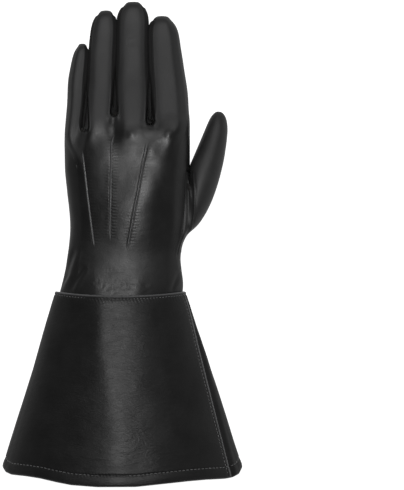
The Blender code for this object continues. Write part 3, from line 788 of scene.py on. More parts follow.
# The crest of the back, which runs from the knuckles to the wrist: y, x, height, reach to each side
CREST = (
    (-12, -1.0, 0.0, 20.0),
    (8, 0.0, 0.3, 19.0),
    (30, 7.0, 1.4, 18.0),
    (44, 13.0, 2.0, 20.0),
    (64, 18.0, 2.7, 23.0),
    (87, 29.0, 3.5, 25.0),
    (110, 45.0, 2.8, 22.0),
    (120, 46.0, 2.2, 21.0),
    (139, 48.0, 0.0, 20.0),
)
# How far the back rises towards the middle and index knuckles before it drops to the fingers: y, height
KNUCKLE_RISE = (
    (102, 0.0),
    (110, 0.3),
    (118, 1.0),
    (123, 1.4),
    (127, 1.1),
    (131, 0.45),
    (135, 0.1),
    (139, 0.0),
)
# Where that rise lies across: first x, last x, and the fade at each end
KNUCKLES_WIDE = (-8.0, 50.0, 13.0, 13.0)
# The hollow between those two knuckles is filled: x, reach to each side, height.
# Then its first and last y and the fade at each end
KNUCKLES_FILL = (23.8, 8.0, 2.0)
KNUCKLES_LONG = (98, 134, 14, 10)
# The stitched points on the back: lower and upper end, then height and width of the ridge, depth, distance
# and width of the grooves beside it, the painted highlight on its top, and strength of the puckers beside
# it
POINTS = (
    (35.1, 110.8, 0.26, 0.4, 0.05, 0.9, 0.35, 1.0, 0.7),
    (40.6, 122.5, 0.26, 0.4, 0.07, 0.9, 0.35, 1.0, 1.0),
    (32.8, 116.2, 0.1, 0.5, 0.22, 1.0, 0.34, 0.7, 0.55),
)
POINT_FADE = 5
# Width of the painted highlight, a paler base colour, along each point's ridge top
POINT_HIGHLIGHT_WIDE = 0.34
# Puckers beside a point: where they start and their fade, middle and width, and their share on the left
POINT_PUCKERS = (0.9, 0.8, 2.4, 2.2, 0.5)
# Small puffs beside the crotches and folds at the knuckles: x, y, reach along x, reach along y, height
BACK_PUFFS = (
    (-29.6, 121.5, 2.2, 2.0, -0.4),
    (-7.4, 135.2, 1.6, 2.2, 0.7),
    (-1.2, 135.8, 1.6, 2.2, 0.7),
    (-4.2, 131.5, 2.4, 2.6, -0.9),
    (20.6, 131.0, 1.7, 2.4, 0.6),
    (28.4, 131.0, 1.7, 2.4, 0.6),
    (10.0, 122.6, 3.6, 3.2, 0.8),
    (38.8, 122.6, 3.6, 3.2, 0.8),
    (-16.0, 117.0, 7.0, 8.0, -0.5),
    (-1.5, 112.0, 5.0, 14.0, -0.2),
    (-18.0, 4.0, 7.0, 14.0, 0.7),
    (15.0, 4.0, 7.0, 14.0, 0.6),
    (-25.0, 120.0, 5.0, 6.0, 0.6),
    (-35.0, 116.0, 5.0, 10.0, -1.6),
    (-28.0, 114.0, 4.0, 9.0, 0.7),
    (-3.5, 122.5, 5.0, 4.5, -0.6),
    (31.0, 117.5, 4.0, 1.3, 0.2),
)
# The pits where the fingers part: x and y of the lower end, half width, lean for each mm up, floor
PITS = (
    (-26.4, 125.2, 3.1, 0.03, 11.0),
    (-3.6, 137.2, 2.9, 0.02, 12.0),
    (24.6, 130.2, 3.4, -0.02, 12.0),
)
# A pit's length and the fade at its far end, how fast it narrows, its wall's width, the share it sinks by
PIT_LONG = 44.0
PIT_FADE = 24
PIT_NARROWS = 0.06
PIT_WALL = 0.9
PIT_SINK = 0.85
# The lip round a pit: height, width, fade at its far end, and how far below the pit's end it goes
PIT_LIP = (0.22, 0.6, 12, 2.5)

# Which points are the hand below the fingers, and how far up they are smoothed: y, fade, share, rounds
HAND_TOP = 140
SMOOTH_TO = 118
SMOOTH_FADE = 12
SMOOTH_SHARE = 0.5
SMOOTH_ROUNDS = 50
# The little finger's side: x and its fade. Smoothing goes further up there, the dull leather and the
# fingers' painted highlight further down
LITTLE_SIDE = (-22, 8)
LITTLE_UP = 12
LITTLE_DOWN = 24
# Back and palm by the normal's height: how far the two overlap, and how wide the change is
FACE_OVERLAP = 0.1
FACE_FADE = 0.5
# How much duller the leather is on the fingers and the wrist, and how much lighter the fingers' colour is
# painted, a painted highlight for their evenly lit tops.
# Fingers: y where that starts and its fade. Wrist: y where it ends and its fade.
FINGER_MATTE = 0.36
FINGER_PAINTED_LIGHT = 0.1
FINGER_FROM = (124, 12)
WRIST_MATTE = 0.16
WRIST_TO = (56, 26)
# Layers of soft unevenness: height, size, seed
HAND_WAVES = ((0.35, 31, 3), (0.16, 13, 4), (0.05, 5, 5))
# Groups of short wrinkles: on the back or not, middle, reach, count, length, depth and width, angle, seed
WRINKLES = (
    (True, (-1, 6), (22, 7), 60, 8, (0.18, 0.5), 0.1, 11),
    (False, (-2, 10), (34, 12), 26, 14, (0.5, 1.2), 1.3, 12),
    (False, (-33, 128), (6, 22), 14, 8, (0.3, 0.7), 0.1, 13),
)
# Seams: depth and width of the groove, then height, distance and width of the lip beside it
FINGER_SEAM = (0.42, 0.38, 0.34, 0.95, 0.5)
FORK_LIP = 0.12
FORK_BULGE = 0.75
FORK_BULGE_AT = (1.0, 2.0)
THUMB_SEAM = (0.75, 0.55, 0.45, 1.35, 0.7)
# The finger seams fade out on the back to this share, over this change of the normal's height
SEAM_ON_BACK = 0.2
SEAM_TURN = (0.2, 0.6)
# The thumb's seam shows only underneath near the wrist: y and its fade, the normal's height and its fade
THUMB_SEAM_FROM = (24, 12)
THUMB_SEAM_UNDER = (-0.2, 0.4)
# Puckers beside the finger seams: strength, distance, width
SEAM_PUCKERS = (0.35, 1.9, 0.9)
# Creases on the back: depth, width, then the path
BACK_CREASES = (
    (0.15, 0.8, ((26, 119.5), (31, 116.5), (35, 117.5))),
    (1.1, 2.2, ((-34, 34), (-38.5, 22), (-43.5, 8))),
    (0.8, 1.9, ((-26, 20), (-33, 10), (-38, 1))),
    (0.5, 1.2, ((-38, 16), (-42, 10), (-45, 3))),
    (0.5, 1.4, ((47, 16), (44, 8), (41, 1))),
    (0.18, 0.6, ((-20, 11), (-8, 13), (6, 12), (14, 10))),
    (0.18, 0.55, ((-16, 7.5), (-4, 9), (8, 8.5), (18, 6))),
    (0.16, 0.5, ((-22, 5), (-10, 5.5), (0, 3.5))),
    (0.16, 0.5, ((-4, 6), (6, 3.5), (16, 3))),
    (0.25, 0.6, ((-12, 16), (0, 17), (10, 15))),
    (0.22, 0.6, ((4, 198), (10, 199), (16, 198))),
    (0.22, 0.6, ((6, 194), (14, 194.5))),
    (0.20, 0.6, ((-19, 186), (-12, 187), (-7, 186))),
    (0.22, 0.6, ((-39, 159), (-33, 160), (-29, 159))),
    (0.20, 0.6, ((-40, 147), (-33, 148))),
    (0.20, 0.7, ((30, 172), (38, 174), (46, 172))),
)
# Joint creases and gathers on the palm side
PALM_CREASES = (
    (0.8, 1.3, ((28, 148), (38, 150), (48, 148))),
    (0.5, 1.0, ((29, 152), (38, 154), (47, 152))),
    (0.6, 1.1, ((27, 180), (36, 182), (45, 180))),
    (0.8, 1.3, ((1, 152), (10, 154), (20, 152))),
    (0.5, 1.0, ((2, 157), (10, 158.5), (18, 157))),
    (0.6, 1.1, ((1, 186), (10, 188), (19, 186))),
    (0.8, 1.3, ((-24, 150), (-15, 152), (-6, 150))),
    (0.5, 1.0, ((-22, 155), (-14, 156))),
    (0.6, 1.0, ((-21, 180), (-13, 182), (-6, 180))),
    (0.7, 1.2, ((-39, 138), (-34, 140), (-28, 138))),
    (0.5, 1.0, ((-38, 143), (-33, 144.5), (-28, 143))),
    (0.5, 1.0, ((-38, 160), (-32, 162), (-27, 160))),
    (1.0, 2.4, ((-36, 98), (-20, 101), (0, 98), (16, 104))),
    (0.9, 2.6, ((4, 96), (2, 76), (6, 52), (14, 34))),
    (1.0, 2.0, ((30, 92), (36, 80), (46, 76))),
    (1.2, 2.6, ((-20, 2), (-18, 12), (-10, 22))),
    (1.2, 2.4, ((-6, 0), (-4, 12), (4, 24))),
    (1.1, 2.2, ((8, 0), (10, 10), (20, 22))),
    (1.0, 2.4, ((22, 0), (26, 10), (36, 18))),
    (0.8, 2.0, ((-34, 0), (-31, 12), (-24, 22))),
)
# The thumb's own seam, beside the one that joins it to the hand: its path, height and width of the ridge,
# depth, distance and width of the groove; then the valley beside it: its path, depth and width
THUMB_LINE = ((48.4, 31.2), (53.0, 40.0), (56.6, 49.1), (58.9, 63.2), (58.9, 77.2), (57.4, 92.0))
THUMB_RIDGE = (0.5, 0.55, 0.35, 1.0, 0.45)
THUMB_VALLEY = ((50.0, 36.0), (54.2, 46.0), (56.2, 60.0), (56.4, 76.0), (55.8, 92.0))
THUMB_VALLEY_SIZE = (0.9, 1.6)


def read_all(table, where):
    """The table's columns at many places at once."""
    rows = np.array(table, dtype=float)
    return [np.interp(where, rows[:, 0], rows[:, c]) for c in range(1, rows.shape[1])]


def seams_of(mesh):
    """Each point's distance from the nearest seam, and whether the thumb meets that seam."""
    sides = np.concatenate([mesh.quads[:, [n, (n + 1) % 4]] for n in range(4)])
    marks = np.tile(mesh.marks, 4)
    sides = np.sort(sides, axis=1)
    order = np.lexsort((sides[:, 1], sides[:, 0]))
    sides, marks = sides[order], marks[order]
    twin = np.all(sides[1:] == sides[:-1], axis=1) & (marks[1:] != marks[:-1])
    ends = sides[1:][twin]
    thumb = (marks[1:][twin] == PIECES.index("thumb")) | (marks[:-1][twin] == PIECES.index("thumb"))
    samples, kinds = [], []
    for (a, b), is_thumb in zip(ends, thumb):
        start, end = mesh.points[a], mesh.points[b]
        count = max(int(np.linalg.norm(end - start) / SEAM_STEP), 1)
        for n in range(count):
            samples.append(start + (end - start) * n / count)
            kinds.append(is_thumb)
    tree = kdtree.KDTree(len(samples))
    for n, sample in enumerate(samples):
        tree.insert(sample, n)
    tree.balance()
    distance = np.empty(len(mesh.points))
    by_thumb = np.zeros(len(mesh.points), dtype=bool)
    for n, point in enumerate(mesh.points):
        _, k, distance[n] = tree.find(point)
        by_thumb[n] = kinds[k]
    return distance, by_thumb


def piece_of_points(mesh):
    piece = np.zeros(len(mesh.points), dtype=int)
    for n in range(4):
        piece[mesh.quads[:, n]] = mesh.marks
    return piece


def between(values, first, last, fade_in, fade_out):
    """1 between two values and 0 outside them, with a fade at each end."""
    return ease((values - first) / fade_in) * ease((last - values) / fade_out)


def little_side(points):
    """1 on the little finger's side of the hand."""
    return ease((LITTLE_SIDE[0] - points[:, 0]) / LITTLE_SIDE[1])


def raise_back(points, back, hand):
    """Shapes the crest of the back, the puffs and the knuckles."""
    x, y = points[:, 0], points[:, 1]
    crest_x, crest_height, crest_reach = read_all(CREST, y)
    points[:, 2] += crest_height * bell(x - crest_x, crest_reach) * back * hand
    points[:, 2] += swell(BACK_PUFFS, x, y) * back
    across = between(x, *KNUCKLES_WIDE)
    points[:, 2] += read_all(KNUCKLE_RISE, y)[0] * across * back * hand
    middle, reach, height = KNUCKLES_FILL
    points[:, 2] += height * bell(x - middle, reach) * between(y, *KNUCKLES_LONG) * back * hand


def sink_pits(points, back):
    """Sinks the pits between the fingers. Returns how dull their leather is."""
    dull = np.zeros(len(points))
    height, width, fade, below = PIT_LIP
    for x, y, wide, lean, floor in PITS:
        up = points[:, 1] - y
        off = np.abs(points[:, 0] - x - lean * up)
        edge = np.where(up < wide, wide - np.hypot(off, np.minimum(up - wide, 0.0)), wide - off)
        edge -= PIT_NARROWS * np.maximum(up, 0.0)
        inside = ease(edge / PIT_WALL + 0.5)
        dull = np.maximum(dull, inside)
        share = inside * ease((PIT_LONG - up) / PIT_FADE) * back
        points[:, 2] -= share * np.maximum(points[:, 2] - floor, 0.0) * PIT_SINK
        lip = bell(edge + PIT_WALL, width) * ease((PIT_LONG - up) / fade) * back
        points[:, 2] += height * lip * (up > -below)
    return dull


def point_relief(points, top):
    """Heights of the three stitched points, how near their puckers are, and the painted highlight on their
    ridges.
    """
    heights, near, painted_light = np.zeros((3, len(points)))
    x, y = points[:, 0], points[:, 1]
    begins, fade, middle, wide, left_share = POINT_PUCKERS
    for k, (low, high, tall, thick, depth, away, reach, ridge_highlight_paint, strength) in enumerate(POINTS):
        line, above, below = (read_all(POINT_LINES, where)[k] for where in (y, y + 1, y - 1))
        off = (x - line) / np.sqrt(1 + ((above - below) / 2) ** 2)
        window = between(y, low, high, POINT_FADE, POINT_FADE) * top
        heights += (tall * bell(off, thick) - depth * bell(np.abs(off) - away, reach)) * window
        # Painted highlight: a paler base colour along the ridge's top
        painted_light = np.maximum(painted_light, ridge_highlight_paint * bell(off, POINT_HIGHLIGHT_WIDE) * window)
        beside = np.where(off > 0, 1.0, left_share) * ease((np.abs(off) - begins) / fade)
        pucker = beside * bell(np.maximum(np.abs(off) - middle, 0.0), wide)
        near = np.maximum(near, strength * pucker * window)
    return heights, near, painted_light


def seam_relief(mesh, up, fork):
    """Heights of the sewn seams, and how near the puckers beside them are."""
    distance, by_thumb = seams_of(mesh)
    turn, fade = SEAM_TURN
    under = SEAM_ON_BACK + (1 - SEAM_ON_BACK) * ease((turn - up) / fade)
    depth, width, lip, away, reach = FINGER_SEAM
    heights = np.where(fork, FORK_LIP, lip) * bell(distance - away, reach) - depth * bell(distance, width)
    heights *= under
    depth, width, lip, away, reach = THUMB_SEAM
    start, fade = THUMB_SEAM_FROM
    above_wrist = ease((mesh.points[:, 1] - start) / fade)
    turn, fade = THUMB_SEAM_UNDER
    shows = above_wrist + (1 - above_wrist) * ease((turn - up) / fade)
    thumb_seam = (lip * bell(distance - away, reach) - depth * bell(distance, width)) * shows
    heights = np.where(by_thumb, thumb_seam, heights)
    start, fade = FORK_BULGE_AT
    heights += np.where(fork, FORK_BULGE, 0.0) * ease((distance - start) / fade)
    strength, away, width = SEAM_PUCKERS
    return heights, strength * under * bell(distance - away, width)


def relief(mesh):
    """Shapes the smooth hand. Returns each point's nearness to stitches, painted highlight and dullness."""
    points, up = mesh.points, mesh.normals()[:, 2]
    back = ease((up + FACE_OVERLAP) / FACE_FADE)
    palm = ease((FACE_OVERLAP - up) / FACE_FADE)
    piece = piece_of_points(mesh)
    thumb, trank, fork = piece == PIECES.index("thumb"), piece == PIECES.index("trank"), piece >= FIRST_FORK
    hand = (points[:, 1] < HAND_TOP) & ~thumb

    smooth_to = SMOOTH_TO + LITTLE_UP * little_side(points)
    weight = SMOOTH_SHARE * ease((smooth_to - points[:, 1]) / SMOOTH_FADE)
    mesh.relax(np.where(hand, weight, 0.0), SMOOTH_ROUNDS)
    raise_back(points, back, hand)
    dull = np.maximum(sink_pits(points, back), fork)

    heights = waves(points, HAND_WAVES)
    for face, table in ((back, BACK_CREASES), (palm, PALM_CREASES)):
        for depth, width, path in table:
            heights += crease(points, face, path, depth, width)
    for on_back, *group in WRINKLES:
        heights += wrinkles(points, back if on_back else palm, *group)
    lines, near, painted_light = point_relief(points, ease((up - 0.3) / 0.3))
    seams, near_seam = seam_relief(mesh, up, fork)
    heights += lines + seams
    near = np.maximum(near, near_seam)
    height, width, depth, away, reach = THUMB_RIDGE
    off = path_distance(points, THUMB_LINE)[0]
    heights += thumb * back * (height * bell(off, width) - depth * bell(off - away, reach))
    depth, width = THUMB_VALLEY_SIZE
    heights -= depth * thumb * back * bell(path_distance(points, THUMB_VALLEY)[0], width)

    start, fade = FINGER_FROM
    fingers = ease((points[:, 1] - start + LITTLE_DOWN * little_side(points)) / fade) * trank
    end, fade = WRIST_TO
    wrist = ease((end - points[:, 1]) / fade) * trank
    dull = np.maximum(dull, np.maximum(FINGER_MATTE * fingers, WRIST_MATTE * wrist))
    # Painted highlight: the fingers' colour is painted lighter to stand in for their evenly lit tops
    painted_light = np.maximum(painted_light, FINGER_PAINTED_LIGHT * fingers)
    mesh.push(heights)
    points[:, 2] = np.maximum(points[:, 2], 0.0)
    return near, painted_light, dull


def wrinkles(points, weight, centre, reach, count, length, size, angle, seed):
    """Many short creases scattered about a place. Size is their depth and width."""
    rng = random.Random(seed)
    heights = np.zeros(len(points))
    for _ in range(count):
        x = centre[0] + rng.gauss(0, 0.45) * reach[0]
        y = centre[1] + rng.gauss(0, 0.45) * reach[1]
        turn = angle + rng.gauss(0, 0.22)
        half = length * rng.uniform(0.35, 0.65)
        bend = rng.gauss(0, 0.12) * half
        across, up = math.cos(turn), math.sin(turn)
        path = (
            (x - across * half, y - up * half),
            (x - up * bend, y + across * bend),
            (x + across * half, y + up * half),
        )
        depth = size[0] * rng.uniform(0.5, 1.0)
        heights += crease(points, weight, path, depth, size[1] * rng.uniform(0.8, 1.3))
    return heights


# Cuff

CUFF_LONG = RIM_Y[0] - HEM_Y
RIM_ROLL = 1.0
RIM_FOLD = 7.0
HEM_ROLL = 1.5
RIM_STITCH = 2.8
HEM_STITCH = 8.8
LAP_STITCHES = (1.4, 3.9)
LAP_UNDER = 5.0
LAP_RAMP = 5.5
EDGE_ROUND = 0.8
CREST_FROM = 28.0
# The crest of the cuff's back: y, x, height, reach to each side
CUFF_CREST = (
    (-152, -3.0, 0.6, 17.0),
    (-110, -4.0, 0.65, 16.0),
    (-80, -9.0, 0.7, 13.0),
    (-45, -16.0, 0.9, 9.0),
    (-3, -16.0, 0.9, 9.0),
)


def cuff_row(share, angles):
    """Points round the cuff's outside at one share of the way from rim to hem."""
    left, right, edge, low, high = read(CUFF_SECTIONS, share)
    across, up = np.cos(angles), np.sin(angles)
    above = up >= 0
    first = np.where(above, CUFF_BACK_POWERS[0], CUFF_PALM_POWERS[0])
    second = np.where(above, CUFF_BACK_POWERS[1], CUFF_PALM_POWERS[1])
    f = np.sign(across) * np.abs(across) ** (2 / first)
    g = np.sign(up) * np.abs(up) ** (2 / second)
    x = (left + right) / 2 + (right - left) / 2 * f
    z = np.maximum(edge + np.where(above, high - edge, edge - low) * g, 0.0)
    below = ease(np.maximum(-up, 0.0) * PALM_EASE)
    rim = mix(RIM_Y[0] + RIM_Y[1] * np.abs(f) ** RIM_Y[2], RIM_Y[3], below)
    places, ys = zip(*HEM_LINE)
    hem = np.interp(f, places, ys) + PALM_HEM_UP * below
    return np.stack([x, mix(rim, hem, share), z], axis=1)


def cuff_normals(share, angles):
    turn, step = 0.004, 0.01
    round_it = cuff_row(share, angles + turn) - cuff_row(share, angles - turn)
    down_it = cuff_row(min(share + step, 1.0), angles) - cuff_row(max(share - step, 0.0), angles)
    normals = np.cross(round_it, down_it)
    return normals / np.maximum(np.linalg.norm(normals, axis=1, keepdims=True), 1e-9)


class CuffRing:
    """The cuff's section at one share, measured along its length from the thumb-side seam."""

    def __init__(self, share):
        self.share = share
        self.fine = np.linspace(-1.0, 2 * math.pi + 1.4, 2600)
        points = cuff_row(share, self.fine)
        steps = np.linalg.norm(np.diff(points, axis=0), axis=1)
        self.lengths = np.concatenate([[0.0], np.cumsum(steps)])
        left, right = read(CUFF_SECTIONS, share)[:2]
        away = read(LAP_EDGE, share)[0]
        lap = angle_across(right - away, left, right, CUFF_BACK_POWERS[0])
        under = math.pi + angle_across(right - away, left, right, CUFF_PALM_POWERS[0])
        self.lap, self.under, self.round = (self.place(a) for a in (lap, under, lap + 2 * math.pi))

    def place(self, angle):
        return float(np.interp(angle, self.fine, self.lengths))

    def angles(self, places):
        return np.interp(places, self.lengths, self.fine)


def profile(rows_out):
    """A panel's path from inside the rim, down the outside, round the hem and up inside: along, depth."""
    path = [(RIM_FOLD, 2 * RIM_ROLL - 0.5), (RIM_FOLD - 0.3, 2 * RIM_ROLL), (3.5, 2 * RIM_ROLL)]
    for n in range(-4, 4):
        turn = math.pi / 2 * n / 4
        path.append((RIM_ROLL * (1 - math.cos(turn)), RIM_ROLL * (1 - math.sin(turn))))
    path += [(along, 0.0) for along in rows_out]
    for n in range(4, -5, -1):
        turn = math.pi / 2 * n / 4
        path.append((CUFF_LONG - HEM_ROLL * (1 - math.cos(turn)), HEM_ROLL * (1 - math.sin(turn))))
    for up in (3.0, 5.0, 7.0, HEM_FOLD - 0.3):
        path.append((CUFF_LONG - up, 2 * HEM_ROLL))
    path.append((CUFF_LONG - HEM_FOLD, 2 * HEM_ROLL - 0.6))
    return path


def outside_rows():
    first = np.arange(RIM_ROLL, 9.0, 0.55)
    last = np.arange(CUFF_LONG - HEM_ROLL - 0.4, CUFF_LONG - 14.0, -0.55)[::-1]
    middle = np.linspace(first[-1], last[0], 96)[1:-1]
    return [*first, *middle, *last]


def cuff_relief(points, along, from_lap, from_under, outside):
    """Height of the stitched lines, the hem's band and soft wrinkles."""
    from_hem = CUFF_LONG - along
    heights = 0.5 * lattice_noise(points, 38, 21) + 0.16 * lattice_noise(points, 15, 22)
    heights += 0.06 * lattice_noise(points * np.array((1, 2.4, 1)), 7, 23) * bell(points[:, 0] / 60, 1)
    heights *= ease((from_hem - 2) / 20) * 0.7 + 0.3
    crest_x, crest_height, crest_reach = read_all(CUFF_CREST, points[:, 1])
    top = points[:, 2] > CREST_FROM
    heights += crest_height * bell(points[:, 0] - crest_x, crest_reach) * top
    heights -= 0.4 * bell(along - RIM_STITCH, 0.6)
    heights += 0.15 * bell(along - 1.2, 0.8)
    heights += 0.3 * bell(from_hem - 4.2, 2.6)
    heights -= 0.45 * bell(from_hem - HEM_STITCH, 0.75)
    for place in LAP_STITCHES:
        for distance in (from_lap, from_under):
            heights -= 0.22 * bell(distance - place, 0.55)
    return heights * outside


def cuff_near(along, from_lap, from_under):
    """How near each point is to a stitched line, and the length along that line."""
    from_hem = CUFF_LONG - along
    near = bell(along - RIM_STITCH, np.where(along > RIM_STITCH, 3.2, 1.2))
    near = np.maximum(near, bell(from_hem - HEM_STITCH, 1.4))
    laps = np.zeros_like(near)
    for place in LAP_STITCHES:
        laps = np.maximum(laps, np.maximum(bell(from_lap - place, 0.9), bell(from_under - place, 0.9)))
    return near, laps


def grid_quads(rows, columns, closed=False):
    """Four-cornered faces between the points of a grid."""
    quads = []
    last = columns if closed else columns - 1
    for a in range(rows - 1):
        for c in range(last):
            d = (c + 1) % columns
            quads.append((a * columns + c, a * columns + d, (a + 1) * columns + d, (a + 1) * columns + c))
    return quads


EDGE_STEPS = (0.0, 0.12, 0.3, 0.5, 0.8, 1.2, 1.6, 2.1, 2.7, 3.3, 3.8, 4.4, 5.2)
HIDDEN_STEPS = (-5.0, -3.0, -1.5, -0.7, -0.2, 0.3, 0.8, 1.4, 2.0, 2.8, 3.6, 4.6, 5.6, 6.8)
PANEL_COLUMNS = 240


def cuff_panel(is_back):
    """The fine surface of one panel: points, faces, nearness to stitches, lengths along them and the
    painted highlight on its edges.
    """
    path = profile(outside_rows())
    blocks, rows = [], []
    for along, depth in path:
        share = min(max(along / CUFF_LONG, 0.0), 1.0)
        ring = CuffRing(share)
        outside = 1.0 if depth == 0.0 else 0.0
        if is_back:
            start, end = ring.lap, ring.under
            middle = np.linspace(start + EDGE_STEPS[-1], end - EDGE_STEPS[-1], PANEL_COLUMNS)[1:-1]
            steps = np.array(EDGE_STEPS)
            places = np.concatenate([start + steps, middle, end - steps[::-1]])
            distance = np.minimum(places - start, end - places)
            roll = np.clip(distance / EDGE_ROUND, 0, 1)
            drop = CUFF_WALL * 0.9 * (1 - np.sqrt(1 - (1 - roll) ** 2))
            from_lap, from_under = places - start, end - places
        else:
            start, end = ring.under, ring.round
            steps = np.array(HIDDEN_STEPS)
            middle = np.linspace(start + steps[-1], end - steps[-1], PANEL_COLUMNS)[1:-1]
            places = np.concatenate([start + steps, middle, end - steps[::-1]])
            distance = np.minimum(places - start, end - places)
            ramp = LAP_RAMP * ease(share / 0.2) + 0.8
            drop = (CUFF_WALL + 0.12) * (1 - ease(distance / ramp)) * ease(share / 0.05)
            from_lap = from_under = np.full(len(places), 99.0)
        angles = ring.angles(places)
        points, normals = cuff_row(share, angles), cuff_normals(share, angles)
        count = len(places)
        along_row = np.full(count, along)
        height = cuff_relief(points, along_row, from_lap, from_under, outside) - depth - drop
        blocks.append(points + normals * height[:, None])
        rows.append((along_row, places, np.full(count, outside), from_lap, from_under))
    points = np.concatenate(blocks)
    points[:, 2] = np.maximum(points[:, 2], 0.0)
    along, arc, outside, from_lap, from_under = (np.concatenate(column) for column in zip(*rows))
    near, laps = cuff_near(along, from_lap, from_under)
    run = np.where(laps > near, along, arc)
    near = np.maximum(near, laps) * outside
    quads = grid_quads(len(path), len(blocks[0]))
    to_lap = np.minimum(from_lap, from_under)
    # Painted highlight: a paler base colour on the rim's roll, along the lap edges and, at half strength,
    # at the hem's fold
    shine = np.maximum(bell(along - 0.4, 0.9), bell(to_lap - 0.8, 0.8) * outside)
    shine = np.maximum(shine, 0.5 * bell(CUFF_LONG - along, 0.8))
    return points, quads, near, run, shine


def cuff_inside():
    """The flesh side of the cuff, from the rim's fold to the hem's fold."""
    blocks = []
    alongs = np.linspace(2.0, CUFF_LONG - 2.5, 70)
    for along in alongs:
        share = along / CUFF_LONG
        ring = CuffRing(share)
        places = np.linspace(ring.lap, ring.round, 321)[:-1]
        angles = ring.angles(places)
        points, normals = cuff_row(share, angles), cuff_normals(share, angles)
        to_seam = np.minimum(np.abs(places - ring.lap), np.abs(ring.round - places))
        to_under = np.abs(places - ring.under)
        lapped = np.maximum(ease((6.5 - to_seam) / 1.5), ease((1.0 + LAP_UNDER - to_under) / 1.5))
        depth = CUFF_WALL + 0.1 + 1.7 * lapped * ease(share / 0.06)
        blocks.append(points - normals * depth[:, None])
    points = np.concatenate(blocks)
    points += 0.12 * lattice_noise(points, 9, 31)[:, None] * np.array((0, 0, 1))
    quads = [q[::-1] for q in grid_quads(len(alongs), len(blocks[0]), closed=True)]
    return points, quads


# Stitches

STITCH_RADIUS = 0.27
STITCH_SIDES = 7
# A stitch from end to end: share of its length from the middle, lift and thickness as shares of the radius
STITCH_SHAPE = (
    (-0.5, -0.75, 0.55),
    (-0.42, -0.1, 0.9),
    (-0.2, 0.16, 1.0),
    (0.2, 0.16, 1.0),
    (0.42, -0.1, 0.9),
    (0.5, -0.75, 0.55),
)


def stitches(points, normals, pitch, length, sink, radius=STITCH_RADIUS):
    """Thread stitches along a line: each is a short arched strand whose ends go into the leather."""
    steps = np.linalg.norm(np.diff(points, axis=0), axis=1)
    lengths = np.concatenate([[0.0], np.cumsum(steps)])
    count = max(int(lengths[-1] / pitch), 1)
    all_points, quads = [], []

    def reading(values, at):
        return np.array([np.interp(at, lengths, values[:, k]) for k in range(3)])

    for n in range(count):
        middle = (n + 0.5) * lengths[-1] / count
        base = len(all_points)
        for reach, lift, thick in STITCH_SHAPE:
            at = np.clip(middle + reach * length, 0, lengths[-1])
            centre, normal = reading(points, at), reading(normals, at)
            normal /= np.linalg.norm(normal)
            run = reading(points, at + 0.3) - reading(points, at - 0.3)
            run -= normal * (run @ normal)
            run /= np.linalg.norm(run)
            side = np.cross(run, normal)
            centre = centre + normal * (lift * radius * 1.6 - sink)
            for s in range(STITCH_SIDES):
                turn = 2 * math.pi * s / STITCH_SIDES
                outwards = side * math.cos(turn) + normal * math.sin(turn)
                all_points.append(centre + outwards * radius * thick)
        for k in range(len(STITCH_SHAPE) - 1):
            ring, following = base + k * STITCH_SIDES, base + (k + 1) * STITCH_SIDES
            for s in range(STITCH_SIDES):
                t = (s + 1) % STITCH_SIDES
                quads.append((ring + s, ring + t, following + t, following + s))
    return np.array(all_points), quads


def line_round(along, first, last):
    """A stitched line round the cuff at one distance below the rim."""
    share = along / CUFF_LONG
    ring = CuffRing(share)
    start, end = first(ring), last(ring)
    places = np.linspace(start, end, 400)
    angles = ring.angles(places)
    return cuff_row(share, angles), cuff_normals(share, angles)


def line_down(place):
    """A stitched line down the cuff beside a seam."""
    points, normals = [], []
    for along in np.linspace(7.0, CUFF_LONG - 3.0, 160):
        share = along / CUFF_LONG
        ring = CuffRing(share)
        angle = ring.angles(np.array([place(ring)]))
        points.append(cuff_row(share, angle)[0])
        normals.append(cuff_normals(share, angle)[0])
    return np.array(points), np.array(normals)


# Materials

def noise(tree, vector, scale, detail=2.0, rough=0.5, distort=0.0):
    made = tree.nodes.new("ShaderNodeTexNoise")
    made.inputs["Scale"].default_value = scale
    made.inputs["Detail"].default_value = detail
    made.inputs["Roughness"].default_value = rough
    made.inputs["Distortion"].default_value = distort
    tree.links.new(vector, made.inputs["Vector"])
    return made.outputs["Fac"]


def stretched(tree, vector, scale):
    made = tree.nodes.new("ShaderNodeMapping")
    made.inputs["Scale"].default_value = scale
    tree.links.new(vector, made.inputs["Vector"])
    return made.outputs["Vector"]


def maths(tree, kind, first, second=None, third=None):
    made = tree.nodes.new("ShaderNodeMath")
    made.operation = kind
    for socket, value in zip(made.inputs, (first, second, third)):
        if value is None:
            continue
        if isinstance(value, (int, float)):
            socket.default_value = value
        else:
            tree.links.new(value, socket)
    return made.outputs[0]


def to_range(tree, value, low, high, to_low, to_high):
    made = tree.nodes.new("ShaderNodeMapRange")
    for name, number in zip(("From Min", "From Max", "To Min", "To Max"), (low, high, to_low, to_high)):
        made.inputs[name].default_value = number
    tree.links.new(value, made.inputs["Value"])
    return made.outputs["Result"]


def bump(tree, height, distance, strength, normal=None):
    made = tree.nodes.new("ShaderNodeBump")
    made.inputs["Strength"].default_value = strength
    made.inputs["Distance"].default_value = distance
    tree.links.new(height, made.inputs["Height"])
    if normal is not None:
        tree.links.new(normal, made.inputs["Normal"])
    return made.outputs["Normal"]


def colours(tree, value, stops):
    made = tree.nodes.new("ShaderNodeValToRGB")
    ramp = made.color_ramp
    for k, (place, colour) in enumerate(stops):
        stop = ramp.elements[k] if k < 2 else ramp.elements.new(place)
        stop.position = place
        stop.color = (*colour, 1)
    tree.links.new(value, made.inputs["Fac"])
    return made.outputs["Color"]


def new_material(name, roughness, **settings):
    material = bpy.data.materials.new(name)
    material.use_nodes = True
    tree = material.node_tree
    shader = tree.nodes["Principled BSDF"]
    shader.inputs["Roughness"].default_value = roughness
    for socket, value in settings.items():
        shader.inputs[socket.replace("_", " ")].default_value = value
    place = tree.nodes.new("ShaderNodeTexCoord").outputs["Object"]
    return material, tree, shader, place


# Colour of the painted highlight: the leather's base colour is mixed towards this pale grey where the
# highlight attribute is high
PAINTED_HIGHLIGHT_COLOUR = (0.12, 0.12, 0.123, 1)


